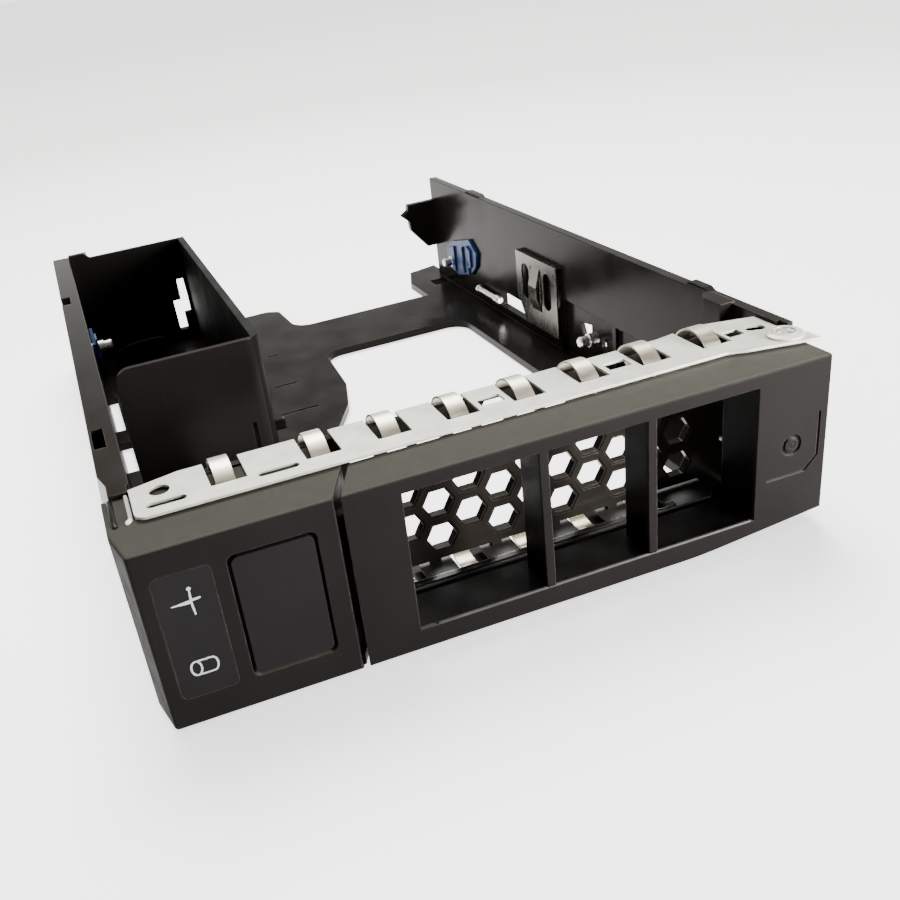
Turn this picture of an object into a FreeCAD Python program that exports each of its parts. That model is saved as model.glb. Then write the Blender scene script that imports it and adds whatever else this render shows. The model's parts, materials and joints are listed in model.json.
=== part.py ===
import FreeCAD, Part
import math
import os
import Sketcher

# Hot swap drive caddy: a moulded tray with two side rails, a honeycomb front
# wall, a swinging front handle, a release button and a filler box that seats
# a 2.5 inch drive in a 3.5 inch bay. Millimetres, Z up, front towards -Y.
# The origin is the centre of the footprint, on the underside.

document = FreeCAD.newDocument("drive_caddy")
sheet = document.addObject("Spreadsheet::Sheet", "sizes")

dimensions = {
    # bay and rails
    "bay_width": 102.6,
    "left_rail_width": 4.1,
    "right_rail_width": 1.95,
    "pipe_stand": 0.75,
    "caddy_length": 170.0,
    "rear_margin": 9.5,
    "left_rail_end": 4.5,
    "rail_height": 29.4,
    "right_rail_rise": 0.6,
    "floor_sheet": 1.8,
    "flange_width": 10.0,
    "running_gap": 0.3,
    "fit_gap": 0.1,
    # fixed bezel and its hollow
    "bezel_width": 29.3,
    "bezel_depth": 16.8,
    "skin": 1.8,
    "shell_wall": 1.5,
    "side_inset": 0.5,
    "side_slant": 1.4,
    "side_slant_depth": 6.5,
    "corner_round": 0.5,
    "edge_round": 0.4,
    "foot_round": 0.9,
    "opening_round": 1.1,
    "slit": 1.1,
    "slit_slant": 3.8,
    # front handle
    "handle_depth": 8.4,
    "handle_end_margin": 2.0,
    "window_left": 8.3,
    "window_right": 12.4,
    "window_bottom": 3.8,
    "window_top": 2.2,
    "first_window": 20.4,
    "second_window": 15.9,
    "bar_width": 1.35,
    "bar_set_back": 1.8,
    "toe_cut_length": 27.0,
    "toe_cut_rise": 2.5,
    "mark_radius": 1.75,
    "mark_groove": 0.6,
    "mark_depth": 0.35,
    # hinge of the handle
    "pivot_inset": 3.4,
    "pivot_back": 8.7,
    "pivot_radius": 1.25,
    "pivot_clearance": 0.05,
    "knuckle_radius": 2.9,
    "head_radius": 2.9,
    "head_rise": 0.6,
    "coil_bottom": 12.0,
    "coil_room": 8.0,
    # release button
    "button_left": 14.1,
    "button_width": 12.3,
    "button_bottom": 5.0,
    "button_height": 19.9,
    "button_gap": 0.5,
    "button_cap": 3.4,
    "button_flange": 0.8,
    "button_travel": 2.0,
    "arm_width": 1.8,
    "catch_height": 4.0,
    "catch_sheet": 0.6,
    # indicator panel and light pipes
    "panel_left": 3.9,
    "panel_width": 8.1,
    "panel_bottom": 4.9,
    "panel_height": 19.8,
    "panel_sheet": 1.1,
    "pipe_width": 1.6,
    "pipe_height": 2.2,
    "lower_pipe": 8.4,
    "upper_pipe": 18.6,
    # front wall and honeycomb
    "front_wall": 1.2,
    "wall_lift": 3.0,
    "comb_pitch": 6.22,
    "comb_web": 1.1,
    "comb_left": 38.6,
    "comb_base": 6.9,
    # shields and spring fingers
    "shield_sheet": 0.4,
    "strip_inset": 4.5,
    "strip_overhang": 0.3,
    "strip_depth": 10.7,
    "finger_sheet": 0.3,
    "finger_width": 2.8,
    "finger_shift": 0.45,
    "finger_notch": 5.2,
    "finger_radius": 5.2,
    "finger_rise": 1.6,
    "first_finger": 18.0,
    "second_finger": 31.8,
    "finger_pitch": 10.7,
    # filler box for the narrow drive
    "box_width": 30.25,
    "box_front": 66.3,
    "box_length": 92.2,
    "box_side_wall": 1.6,
    "box_end_wall": 1.2,
    "box_corner": 3.0,
    "box_left_gap": 2.25,
    # floor openings and cross bar
    "bar_front": 120.9,
    "bar_depth": 23.7,
    "plate_width": 24.4,
    # drive pins and clips
    "drive_rear": 161.0,
    "pin_radius": 1.2,
    "shank_radius": 1.5,
    "pin_reach": 2.2,
    "pin_height": 9.0,
    "rear_pin_inset": 14.0,
    "pin_spacing": 76.6,
    "clip_sheet": 1.3,
    "clip_length": 17.5,
    "left_clip_length": 10.0,
    "left_clip_drop": 2.0,
    "rail_recess": 0.9,
    # grounding clip
    "ground_front": 84.0,
    "ground_length": 20.0,
    "ground_bottom": 5.0,
    "ground_top": 21.9,
    "ground_sheet": 0.4,
    "ground_stand": 1.3,
}


class Size:
    """A length, kept together with the sheet formula that gives it."""

    def __init__(self, formula, number):
        self.formula = formula
        self.number = number

    def joined(self, other, sign, number, swapped=False):
        other = as_size(other)
        first, second = (other, self) if swapped else (self, other)
        return Size(f"({first.formula} {sign} {second.formula})", number(first.number, second.number))

    def __add__(self, other):
        return self.joined(other, "+", lambda a, b: a + b)

    def __sub__(self, other):
        return self.joined(other, "-", lambda a, b: a - b)

    def __rsub__(self, other):
        return self.joined(other, "-", lambda a, b: a - b, swapped=True)

    def __mul__(self, other):
        return self.joined(other, "*", lambda a, b: a * b)

    def __truediv__(self, other):
        return self.joined(other, "/", lambda a, b: a / b)

    def __neg__(self):
        return self * -1

    __radd__ = __add__
    __rmul__ = __mul__


class Sizes:
    """The sheet's named cells, as attributes."""


def as_size(value):
    return value if isinstance(value, Size) else Size(f"({value})", float(value))


def fill_sheet():
    named = Sizes()
    for row, (name, value) in enumerate(dimensions.items(), start=1):
        sheet.set(f"A{row}", name)
        sheet.set(f"B{row}", str(value))
        sheet.setAlias(f"B{row}", name)
        setattr(named, name, Size(f"sizes.{name}", value))
    document.recompute()
    return named


s = fill_sheet()

# ---------------------------------------------------------------- datum lines
left = -(s.pipe_stand + s.left_rail_width + s.bay_width + s.right_rail_width) / 2
right = -left
rail_outer = left + s.pipe_stand
bay_left = rail_outer + s.left_rail_width
bay_right = right - s.right_rail_width
front = -s.caddy_length / 2
rear = s.caddy_length / 2
rail_rear = rear - s.rear_margin
left_rail_rear = rear - s.left_rail_end
bezel_left = left + s.side_inset
strip_left = left + s.strip_inset
wall_front = front + s.bezel_depth + s.fit_gap
wall_rear = wall_front + s.front_wall
front_top = s.rail_height - s.shield_sheet - s.running_gap
shield_under = s.rail_height - s.shield_sheet
slit_front = left + s.bezel_width
slit_rear = slit_front + s.slit_slant
handle_rear = front + s.handle_depth
handle_right = right - s.handle_end_margin
pivot_x = right - s.pivot_inset
pivot_y = front + s.pivot_back
flange_edge = bay_right - s.flange_width
box_right = bay_left + s.box_width
box_front = front + s.box_front
box_rear = box_front + s.box_length
drive_rear = front + s.drive_rear
finger_places = [left + s.first_finger]
finger_places += [left + s.second_finger + s.finger_pitch * step for step in range(7)]


# ------------------------------------------------------------ drawing helpers
def bind(thing, path, value):
    thing.setExpression(path, as_size(value).formula)


def number(value):
    return as_size(value).number


def new_body(label):
    body = document.addObject("PartDesign::Body", label)
    body.Label = label
    return body


def new_sketch(body, name, role, offset):
    sketch = body.newObject("Sketcher::SketchObject", name)
    plane = [item for item in body.Origin.OriginFeatures if item.Role == role][0]
    sketch.AttachmentSupport = (plane, "")
    sketch.MapMode = "FlatFace"
    bind(sketch, "AttachmentOffset.Base.z", offset)
    return sketch


def flat(body, name, height):
    """A sketch seen from above, at a height."""
    return new_sketch(body, name, "XY_Plane", height)


def upright(body, name, distance):
    """A sketch seen from the front, at a place along Y."""
    return new_sketch(body, name, "XZ_Plane", -distance)


def sideways(body, name, distance):
    """A sketch seen from the right, at a place along X."""
    return new_sketch(body, name, "YZ_Plane", distance)


def tied(kind, geometry, point, value):
    """A constraint that holds one coordinate of a point, measured from the origin."""
    return Sketcher.Constraint(kind, -1, 1, geometry, point, number(value)), value


def add_tied(sketch, free, held):
    """Adds plain constraints and then the ones that follow a size."""
    first = sketch.ConstraintCount + len(free)
    sketch.addConstraint([*free, *(constraint for constraint, value in held)])
    for index, (constraint, value) in enumerate(held, start=first):
        sketch.setExpression(f"Constraints[{index}]", as_size(value).formula)


def polygon(sketch, corners):
    start = sketch.GeometryCount
    count = len(corners)
    points = [FreeCAD.Vector(number(a), number(b), 0) for a, b in corners]
    sketch.addGeometry([Part.LineSegment(points[index], points[(index + 1) % count])
                        for index in range(count)], False)
    joints = [Sketcher.Constraint("Coincident", start + index, 2, start + (index + 1) % count, 1)
              for index in range(count)]
    held = []
    for index, (across, along) in enumerate(corners):
        held.append(tied("DistanceX", start + index, 1, across))
        held.append(tied("DistanceY", start + index, 1, along))
    add_tied(sketch, joints, held)
    return sketch


def rectangle(sketch, low_a, low_b, high_a, high_b):
    return polygon(sketch, [(low_a, low_b), (high_a, low_b), (high_a, high_b), (low_a, high_b)])


def circle(sketch, across, along, radius):
    centre = FreeCAD.Vector(number(across), number(along), 0)
    index = sketch.addGeometry(Part.Circle(centre, FreeCAD.Vector(0, 0, 1), number(radius)), False)
    add_tied(sketch, [], centred(index, (across, along), radius))
    return sketch


def centred(geometry, centre, radius):
    """Holds the centre and the radius of a circle or an arc."""
    size = Sketcher.Constraint("Radius", geometry, number(radius))
    across = tied("DistanceX", geometry, 3, centre[0])
    up = tied("DistanceY", geometry, 3, centre[1])
    return [across, up, (size, radius)]


def slot(sketch, start, end, radius):
    """A straight slot with round ends, between two centres."""
    a = FreeCAD.Vector(number(start[0]), number(start[1]), 0)
    b = FreeCAD.Vector(number(end[0]), number(end[1]), 0)
    turn = math.atan2(b.y - a.y, b.x - a.x)
    side = FreeCAD.Vector(-math.sin(turn), math.cos(turn), 0) * number(radius)
    up = FreeCAD.Vector(0, 0, 1)
    quarter = math.pi / 2
    first = sketch.addGeometry(
        Part.ArcOfCircle(Part.Circle(a, up, number(radius)), turn + quarter, turn + 3 * quarter), False)
    low = sketch.addGeometry(Part.LineSegment(a - side, b - side), False)
    second = sketch.addGeometry(
        Part.ArcOfCircle(Part.Circle(b, up, number(radius)), turn - quarter, turn + quarter), False)
    high = sketch.addGeometry(Part.LineSegment(b + side, a + side), False)
    ends = ((first, 2, low, 1), (low, 2, second, 1), (second, 2, high, 1), (high, 2, first, 1))
    touching = [Sketcher.Constraint("Tangent", *end) for end in ends]
    add_tied(sketch, touching, centred(first, start, radius) + centred(second, end, radius)[:2])
    return sketch


def arch(sketch, centre, outer, sheet_thickness, foot, tip, upward):
    """A bent strip seen from its end: two arcs about one centre, cut level at the foot and the tip."""
    inner = outer - sheet_thickness
    middle = FreeCAD.Vector(number(centre[0]), number(centre[1]), 0)
    side = 1 if upward else -1

    def on_arc(radius, height, direction):
        rise = number(height) - middle.y
        return middle + FreeCAD.Vector(direction * math.sqrt(number(radius) ** 2 - rise ** 2), rise, 0)

    def bend(radius):
        ends = [on_arc(radius, foot, -1), middle + FreeCAD.Vector(0, side * number(radius), 0),
                on_arc(radius, tip, 1)]
        return sketch.addGeometry(Part.Arc(*ends), False), ends

    outside, outer_ends = bend(outer)
    inside, inner_ends = bend(inner)
    near = sketch.addGeometry(Part.LineSegment(outer_ends[0], inner_ends[0]), False)
    far = sketch.addGeometry(Part.LineSegment(outer_ends[2], inner_ends[2]), False)
    # An arc runs anticlockwise, so an upward bend starts at its far end.
    foot_point, tip_point = (2, 1) if upward else (1, 2)
    joints = []
    held = []
    for line, end in ((near, foot_point), (far, tip_point)):
        joints.append(Sketcher.Constraint("Coincident", outside, end, line, 1))
        joints.append(Sketcher.Constraint("Coincident", inside, end, line, 2))
    for bent, radius in ((outside, outer), (inside, inner)):
        held += centred(bent, centre, radius)
        held.append(tied("DistanceY", bent, foot_point, foot))
        held.append(tied("DistanceY", bent, tip_point, tip))
    add_tied(sketch, joints, held)
    return sketch


def pad(body, sketch, length, reverse=False):
    feature = body.newObject("PartDesign::Pad", sketch.Name + "_pad")
    feature.Profile = sketch
    bind(feature, "Length", length)
    feature.Reversed = reverse
    return feature


def pocket(body, sketch, length, reverse=False):
    feature = body.newObject("PartDesign::Pocket", sketch.Name + "_pocket")
    feature.Profile = sketch
    bind(feature, "Length", length)
    feature.Reversed = reverse
    return feature


def edges_along(shape, axis, places):
    """Names of the straight edges that run along an axis through the given places."""
    others = [index for index in range(3) if index != axis]
    names = []
    for index, edge in enumerate(shape.Edges, start=1):
        if len(edge.Vertexes) != 2 or edge.Curve.TypeId != "Part::GeomLine":
            continue
        first, second = (vertex.Point for vertex in edge.Vertexes)
        if any(abs(first[other] - second[other]) > 1e-4 for other in others):
            continue
        for place in places:
            near = [abs(first[other] - number(value)) < 1e-3 for other, value in zip(others, place)]
            if all(near):
                names.append(f"Edge{index}")
                break
    return names


def round_edges(body, name, feature, axis, places, radius, kind="PartDesign::Fillet", size="Radius"):
    document.recompute()
    rounded = body.newObject(kind, name)
    rounded.Base = (feature, edges_along(feature.Shape, axis, places))
    bind(rounded, size, radius)
    return rounded


# ------------------------------------------------------------------ the tray
def pipe_path():
    """The light pipe's outer side as (x, y) places, from the rear end of the rail to the panel."""
    inside = bezel_left + s.side_slant + s.shell_wall
    behind_panel = left + s.panel_left + s.panel_width / 2 - s.pipe_width / 2
    return [
        (rail_outer, left_rail_rear),
        (rail_outer, front + 112),
        (left, front + 105),
        (left, front + 28),
        (inside, front + 18.5),
        (inside, front + 12.5),
        (behind_panel, front + 7),
        (behind_panel, front + s.panel_sheet + s.fit_gap),
    ]


def tray_frame():
    body = new_body("tray_frame")

    # The floor is one open outline: left plate, cross bar, right flange and rear tabs.
    plate_edge = box_right + s.plate_width
    bar_front = front + s.bar_front
    bar_rear = bar_front + s.bar_depth
    floor = polygon(flat(body, "floor_outline", 0), [
        (rail_outer, wall_front),
        (bay_left + 28, wall_front),
        (bay_left + 28, wall_front + 8),
        (bay_left + 14, wall_front + 12),
        (bay_left + 14, box_front - 8),
        (box_right + 6, box_front),
        (box_right + 14, box_front + 9.5),
        (box_right + 20, box_front + 21),
        (plate_edge - 1.4, box_front + 32),
        (plate_edge, bar_front),
        (flange_edge, bar_front),
        (flange_edge, wall_front),
        (pivot_x - s.head_radius, wall_front),
        (pivot_x - s.head_radius, pivot_y),
        (right, pivot_y),
        (right, rear),
        (flange_edge + 3.4, rear - 2.2),
        (flange_edge, rail_rear - 1.9),
        (flange_edge, bar_rear),
        (plate_edge - 1.2, bar_rear),
        (plate_edge - 2, rail_rear + 1),
        (plate_edge - 5, rail_rear + 3.2),
        (box_right, rail_rear + 3.2),
        (box_right, rail_rear + 0.5),
        (bay_left, rail_rear + 0.5),
        (bay_left, left_rail_rear),
        (rail_outer, left_rail_rear),
    ])
    pad(body, floor, s.floor_sheet)
    lug = circle(flat(body, "hinge_lug", 0), pivot_x, pivot_y, s.head_radius)
    floor_pad = pad(body, lug, s.floor_sheet)
    corners = [(box_right + 6, box_front), (box_right + 14, box_front + 9.5),
               (box_right + 20, box_front + 21)]
    bends = [(plate_edge, bar_front), (flange_edge, bar_front), (plate_edge - 1.2, bar_rear)]
    floor_round = round_edges(body, "floor_round", floor_pad, 2, corners + bends, 5.0)
    tab_round = round_edges(body, "tab_round", floor_round, 2,
                            [(plate_edge - 2, rail_rear + 1), (plate_edge - 5, rail_rear + 3.2)], 1.2)

    # Side rails.
    rails = flat(body, "left_rail", 0)
    rectangle(rails, rail_outer, wall_front, bay_left, left_rail_rear)
    left_pad = pad(body, rails, s.rail_height)
    round_edges(body, "left_rail_end_round", left_pad, 0, [(left_rail_rear, s.rail_height)], 2.5)
    right_rail = flat(body, "right_rail", 0)
    rectangle(right_rail, bay_right, pivot_y + s.head_radius + 1.3, right, rail_rear)
    pad(body, right_rail, s.rail_height + s.right_rail_rise)
    lip = flat(body, "right_rail_lip", shield_under)
    rectangle(lip, bay_right + 0.9, pivot_y + 2.4, right, pivot_y + s.head_radius + 1.8)
    pad(body, lip, s.shield_sheet + s.right_rail_rise)

    # Honeycomb front wall between the rails.
    wall = polygon(upright(body, "front_wall_outline", wall_rear), [
        (bay_left - 0.5, 0),
        (bay_left + 28, 0),
        (bay_left + 28, s.wall_lift),
        (flange_edge, s.wall_lift),
        (flange_edge, 0),
        (bay_right + 0.5, 0),
        (bay_right + 0.5, shield_under),
        (bay_left - 0.5, shield_under),
    ])
    pad(body, wall, s.front_wall)
    for column in range(11):
        comb = upright(body, f"comb_column_{column + 1}", wall_rear)
        comb_column(comb, column)
        pocket(body, comb, s.front_wall + 1, reverse=True)
    feet = upright(body, "wall_feet", wall_rear)
    for step in (2, 3, 4, 5):
        middle = left + s.second_finger + s.finger_pitch * (step - 0.5)
        rectangle(feet, middle - 0.9, s.floor_sheet + s.shield_sheet, middle + 0.9, s.wall_lift + 0.2)
    pad(body, feet, s.front_wall)

    # Front block and stop bumps on the right rail, and the plate at its rear end.
    block = flat(body, "rail_block", 0)
    polygon(block, [(bay_right - 2.4, front + 23.5), (bay_right + 0.5, front + 23.5),
                    (bay_right + 0.5, front + 30), (bay_right - 1.2, front + 30),
                    (bay_right - 2.4, front + 28.2)])
    pad(body, block, s.rail_height + 1)
    bumps = sideways(body, "rail_bumps", bay_right + 0.4)
    top = s.rail_height + s.right_rail_rise
    for start, end in ((30.7, 37.5), (126.5, 136.0)):
        polygon(bumps, [(front + start, top - 0.5), (front + end, top - 0.5),
                        (front + end, top), (front + end - 1.2, top + 0.6),
                        (front + start + 1.2, top + 0.6), (front + start, top)])
    pad(body, bumps, s.right_rail_width - 0.4)
    guide = polygon(upright(body, "rear_guide", rail_rear), [
        (bay_right + 0.5, 11.3),
        (bay_right - 3.2, 11.3),
        (bay_right - 7.8, 16.8),
        (bay_right - 8.1, 19.5),
        (bay_right - 10.2, 21.4),
        (bay_right - 8.2, 22.6),
        (bay_right - 8, 24.2),
        (bay_right + 0.5, 24.2),
    ])
    pad(body, guide, 1.8)

    # Rib on the floor that guides the left drive pin.
    guide_y = drive_rear - s.rear_pin_inset
    rib = polygon(upright(body, "pin_guide_rib", guide_y + 0.6), [
        (bay_left + 4.2, s.floor_sheet - 0.5), (bay_left + 18, s.floor_sheet - 0.5), (bay_left + 18, 7.6),
        (bay_left + 15.5, s.pin_height - 1.2), (bay_left + 8.6, s.pin_height - 1.4), (bay_left + 5.6, 6.4),
        (bay_left + 4.2, 4.6)])
    pad(body, rib, 1.2)

    # Openings in the floor beside the left rail, in the plate and in the rear tab.
    gaps = flat(body, "floor_gaps", s.floor_sheet)
    rectangle(gaps, bay_left, front + 82, bay_left + 2.2, front + 98)
    rectangle(gaps, bay_left, front + 105, bay_left + 1.9, front + 127)
    for place, start, end in ((127.5, 11, 13.4), (106.5, 7.6, 13.3), (90.1, 5, 13.8)):
        rectangle(gaps, box_right + start, front + place, box_right + end, front + place + 0.7)
    rectangle(gaps, bay_right - 5, rear - 18.8, bay_right - 0.3, rear - 13.8)
    pocket(body, gaps, s.floor_sheet)
    bore = circle(flat(body, "hinge_bore", s.floor_sheet), pivot_x, pivot_y, s.pivot_radius)
    pocket(body, bore, s.floor_sheet)

    # The right rail is thinned below its step, with two windows and an outer groove.
    step_cut = sideways(body, "rail_step", bay_right)
    polygon(step_cut, [(front + 31, s.floor_sheet), (front + 61, s.floor_sheet), (front + 61, 14.4),
                       (front + 31, 14.2)])
    polygon(step_cut, [(front + 62.4, s.floor_sheet), (front + 84.5, s.floor_sheet), (front + 84.5, 14.9),
                       (front + 62.4, 14.4)])
    pocket(body, step_cut, s.rail_recess, reverse=True)
    windows = sideways(body, "rail_windows", bay_right - 0.5)
    rectangle(windows, front + 101, 3.8, front + 117.5, 8.2)
    polygon(windows, [(front + 72.4, 6.4), (front + 76.2, 8), (front + 77.6, 10.7), (front + 72.4, 11.4)])
    polygon(windows, [(front + 66.2, 6.2), (front + 68.5, 7.6), (front + 68.5, 10.8), (front + 66.4, 9)])
    pocket(body, windows, s.right_rail_width + 1, reverse=True)
    outer_groove = sideways(body, "outer_groove", right)
    rectangle(outer_groove, front + 34, 17.6, rail_rear - 4, 21.4)
    rectangle(outer_groove, front + 34, 24.4, rail_rear - 4, 26.8)
    pocket(body, outer_groove, 0.7)

    # Outside of the left rail: pockets between ribs, and grooves for the light pipes.
    hollows = sideways(body, "rail_hollows", rail_outer)
    for start, end in ((44, 62), (64, 90), (92, 116), (125, 156)):
        for low, high in ((2.6, 6.6), (12.6, 16.8), (22.8, 26.6)):
            rectangle(hollows, front + start, low, front + end, high)
    pocket(body, hollows, s.left_rail_width - 1.6, reverse=True)
    for name, height in (("lower", s.lower_pipe), ("upper", s.upper_pipe)):
        groove = flat(body, name + "_pipe_groove", height - s.fit_gap)
        inner = [(x + s.pipe_width + s.fit_gap, y) for x, y in pipe_path()[:5]]
        inner.append((inner[-1][0], wall_front - 0.5))
        polygon(groove, [(rail_outer - 1, wall_front - 0.5), *reversed(inner[1:]),
                         (inner[0][0], left_rail_rear + 0.5), (rail_outer - 1, left_rail_rear + 0.5)])
        pocket(body, groove, s.pipe_height + s.fit_gap * 2, reverse=True)
    seat = flat(body, "shield_seat", s.rail_height)
    rectangle(seat, strip_left - s.fit_gap, wall_front - 0.5, bay_left + 0.5,
              handle_rear + s.strip_depth + s.fit_gap)
    pocket(body, seat, s.shield_sheet)
    shoulder = flat(body, "rail_shoulder", s.rail_height)
    polygon(shoulder, [(rail_outer - 0.5, wall_front - 0.5), (rail_outer + 0.9, wall_front - 0.5),
                       (rail_outer + 0.9, front + 20.5), (rail_outer - 0.5, front + 26.5)])
    pocket(body, shoulder, s.rail_height)
    notches = flat(body, "rail_notches", s.rail_height)
    rectangle(notches, rail_outer - 0.5, front + 118, rail_outer + 2.1, front + 124)
    rectangle(notches, rail_outer + 0.45, front + 34, rail_outer + 2.35, front + 41.8)
    pocket(body, notches, 4.0)
    return body


def comb_column(sketch, column):
    """One column of hexagonal holes with flats above and below; every other column steps half a pitch."""
    flats = s.comb_pitch - s.comb_web
    corner = flats / math.sqrt(3)
    across = left + s.comb_left + s.comb_pitch * (math.sqrt(3) / 2 * column)
    rows = 4 if column % 2 == 0 else 3
    for row in range(rows):
        up = s.comb_base + s.comb_pitch * (row if column % 2 == 0 else row + 0.5)
        polygon(sketch, [
            (across - corner, up),
            (across - corner / 2, up - flats / 2),
            (across + corner / 2, up - flats / 2),
            (across + corner, up),
            (across + corner / 2, up + flats / 2),
            (across - corner / 2, up + flats / 2),
        ])


# ------------------------------------------------------------- front pieces
def opening_corners(low_x, high_x, low, high):
    return [(x, z) for x in (low_x, high_x) for z in (low, high)]


def bezel_body():
    body = new_body("bezel_body")
    inner_left = bezel_left + s.side_slant + s.shell_wall - s.fit_gap
    outline = polygon(flat(body, "bezel_outline", 0), [
        (bezel_left + s.side_slant, front),
        (slit_front, front),
        (slit_rear, handle_rear),
        (slit_rear, front + s.bezel_depth),
        (bezel_left, front + s.bezel_depth),
        (bezel_left, front + s.side_slant_depth),
    ])
    base = pad(body, outline, front_top)
    corner = round_edges(body, "bezel_corner", base, 2, [(bezel_left + s.side_slant, front)], s.corner_round)
    foot = round_edges(body, "bezel_foot", corner, 0, [(front, 0)], s.foot_round)
    round_edges(body, "bezel_brow", foot, 0, [(front, front_top)], s.edge_round)
    hollow = upright(body, "bezel_hollow", front + s.bezel_depth)
    rectangle(hollow, inner_left, s.shell_wall, slit_front - s.shell_wall, front_top - s.shell_wall)
    pocket(body, hollow, s.bezel_depth - s.skin, reverse=True)
    side_hollow = upright(body, "catch_hollow", front + s.bezel_depth)
    rectangle(side_hollow, slit_front - s.shell_wall - 1, s.shell_wall, slit_rear - s.shell_wall,
              front_top - s.shell_wall)
    pocket(body, side_hollow, s.bezel_depth - s.handle_depth - s.shell_wall, reverse=True)
    # Opening for the button, and a shallow seat for the indicator panel, both with round corners.
    low_x = left + s.button_left
    high_x = low_x + s.button_width
    high = s.button_bottom + s.button_height
    opening = rectangle(upright(body, "button_opening", front), low_x, s.button_bottom, high_x, high)
    cut = pocket(body, opening, s.skin + 0.1)
    round_edges(body, "button_opening_round", cut, 1,
                opening_corners(low_x, high_x, s.button_bottom, high), s.opening_round)
    low_x = left + s.panel_left
    high_x = low_x + s.panel_width
    high = s.panel_bottom + s.panel_height
    recess = rectangle(upright(body, "panel_recess", front), low_x, s.panel_bottom, high_x, high)
    cut = pocket(body, recess, s.panel_sheet)
    round_edges(body, "panel_recess_round", cut, 1,
                opening_corners(low_x, high_x, s.panel_bottom, high), s.opening_round)
    pipe_holes = upright(body, "pipe_holes", front)
    middle = left + s.panel_left + s.panel_width / 2
    reach = s.pipe_width / 2 + s.fit_gap
    for height in (s.lower_pipe, s.upper_pipe):
        rectangle(pipe_holes, middle - reach, height - s.fit_gap,
                  middle + reach, height + s.pipe_height + s.fit_gap)
    pocket(body, pipe_holes, s.skin + 0.1)
    # A window in the side wall for the catch, and a slit in the top for the shield's folded end.
    catch_window = sideways(body, "catch_window", slit_rear)
    rectangle(catch_window, handle_rear + 2.9, middle_height() - s.catch_height / 2 - 0.6,
              handle_rear + 5.3, middle_height() + s.catch_height / 2 + 0.6)
    pocket(body, catch_window, s.shell_wall + 0.5)
    fold_slit = flat(body, "fold_slit", front_top)
    rectangle(fold_slit, strip_left - s.fit_gap, front + 9.4, strip_left + s.shield_sheet + s.fit_gap,
              front + s.bezel_depth)
    pocket(body, fold_slit, s.shell_wall + 0.1)
    # A low lip closes the foot of the slit beside the handle.
    lip = flat(body, "slit_lip", 0.4)
    reach = s.slit - s.running_gap
    slant = s.slit_slant / s.handle_depth
    polygon(lip, [
        (slit_front - 0.3, front + 0.8),
        (slit_front + reach, front + 0.8),
        (slit_rear + reach, handle_rear),
        (slit_rear + reach, handle_rear + 3),
        (slit_rear - 0.5, handle_rear + 3),
        (slit_rear - 0.5, handle_rear - 0.5),
    ])
    pad(body, lip, 1.8)
    return body


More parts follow.
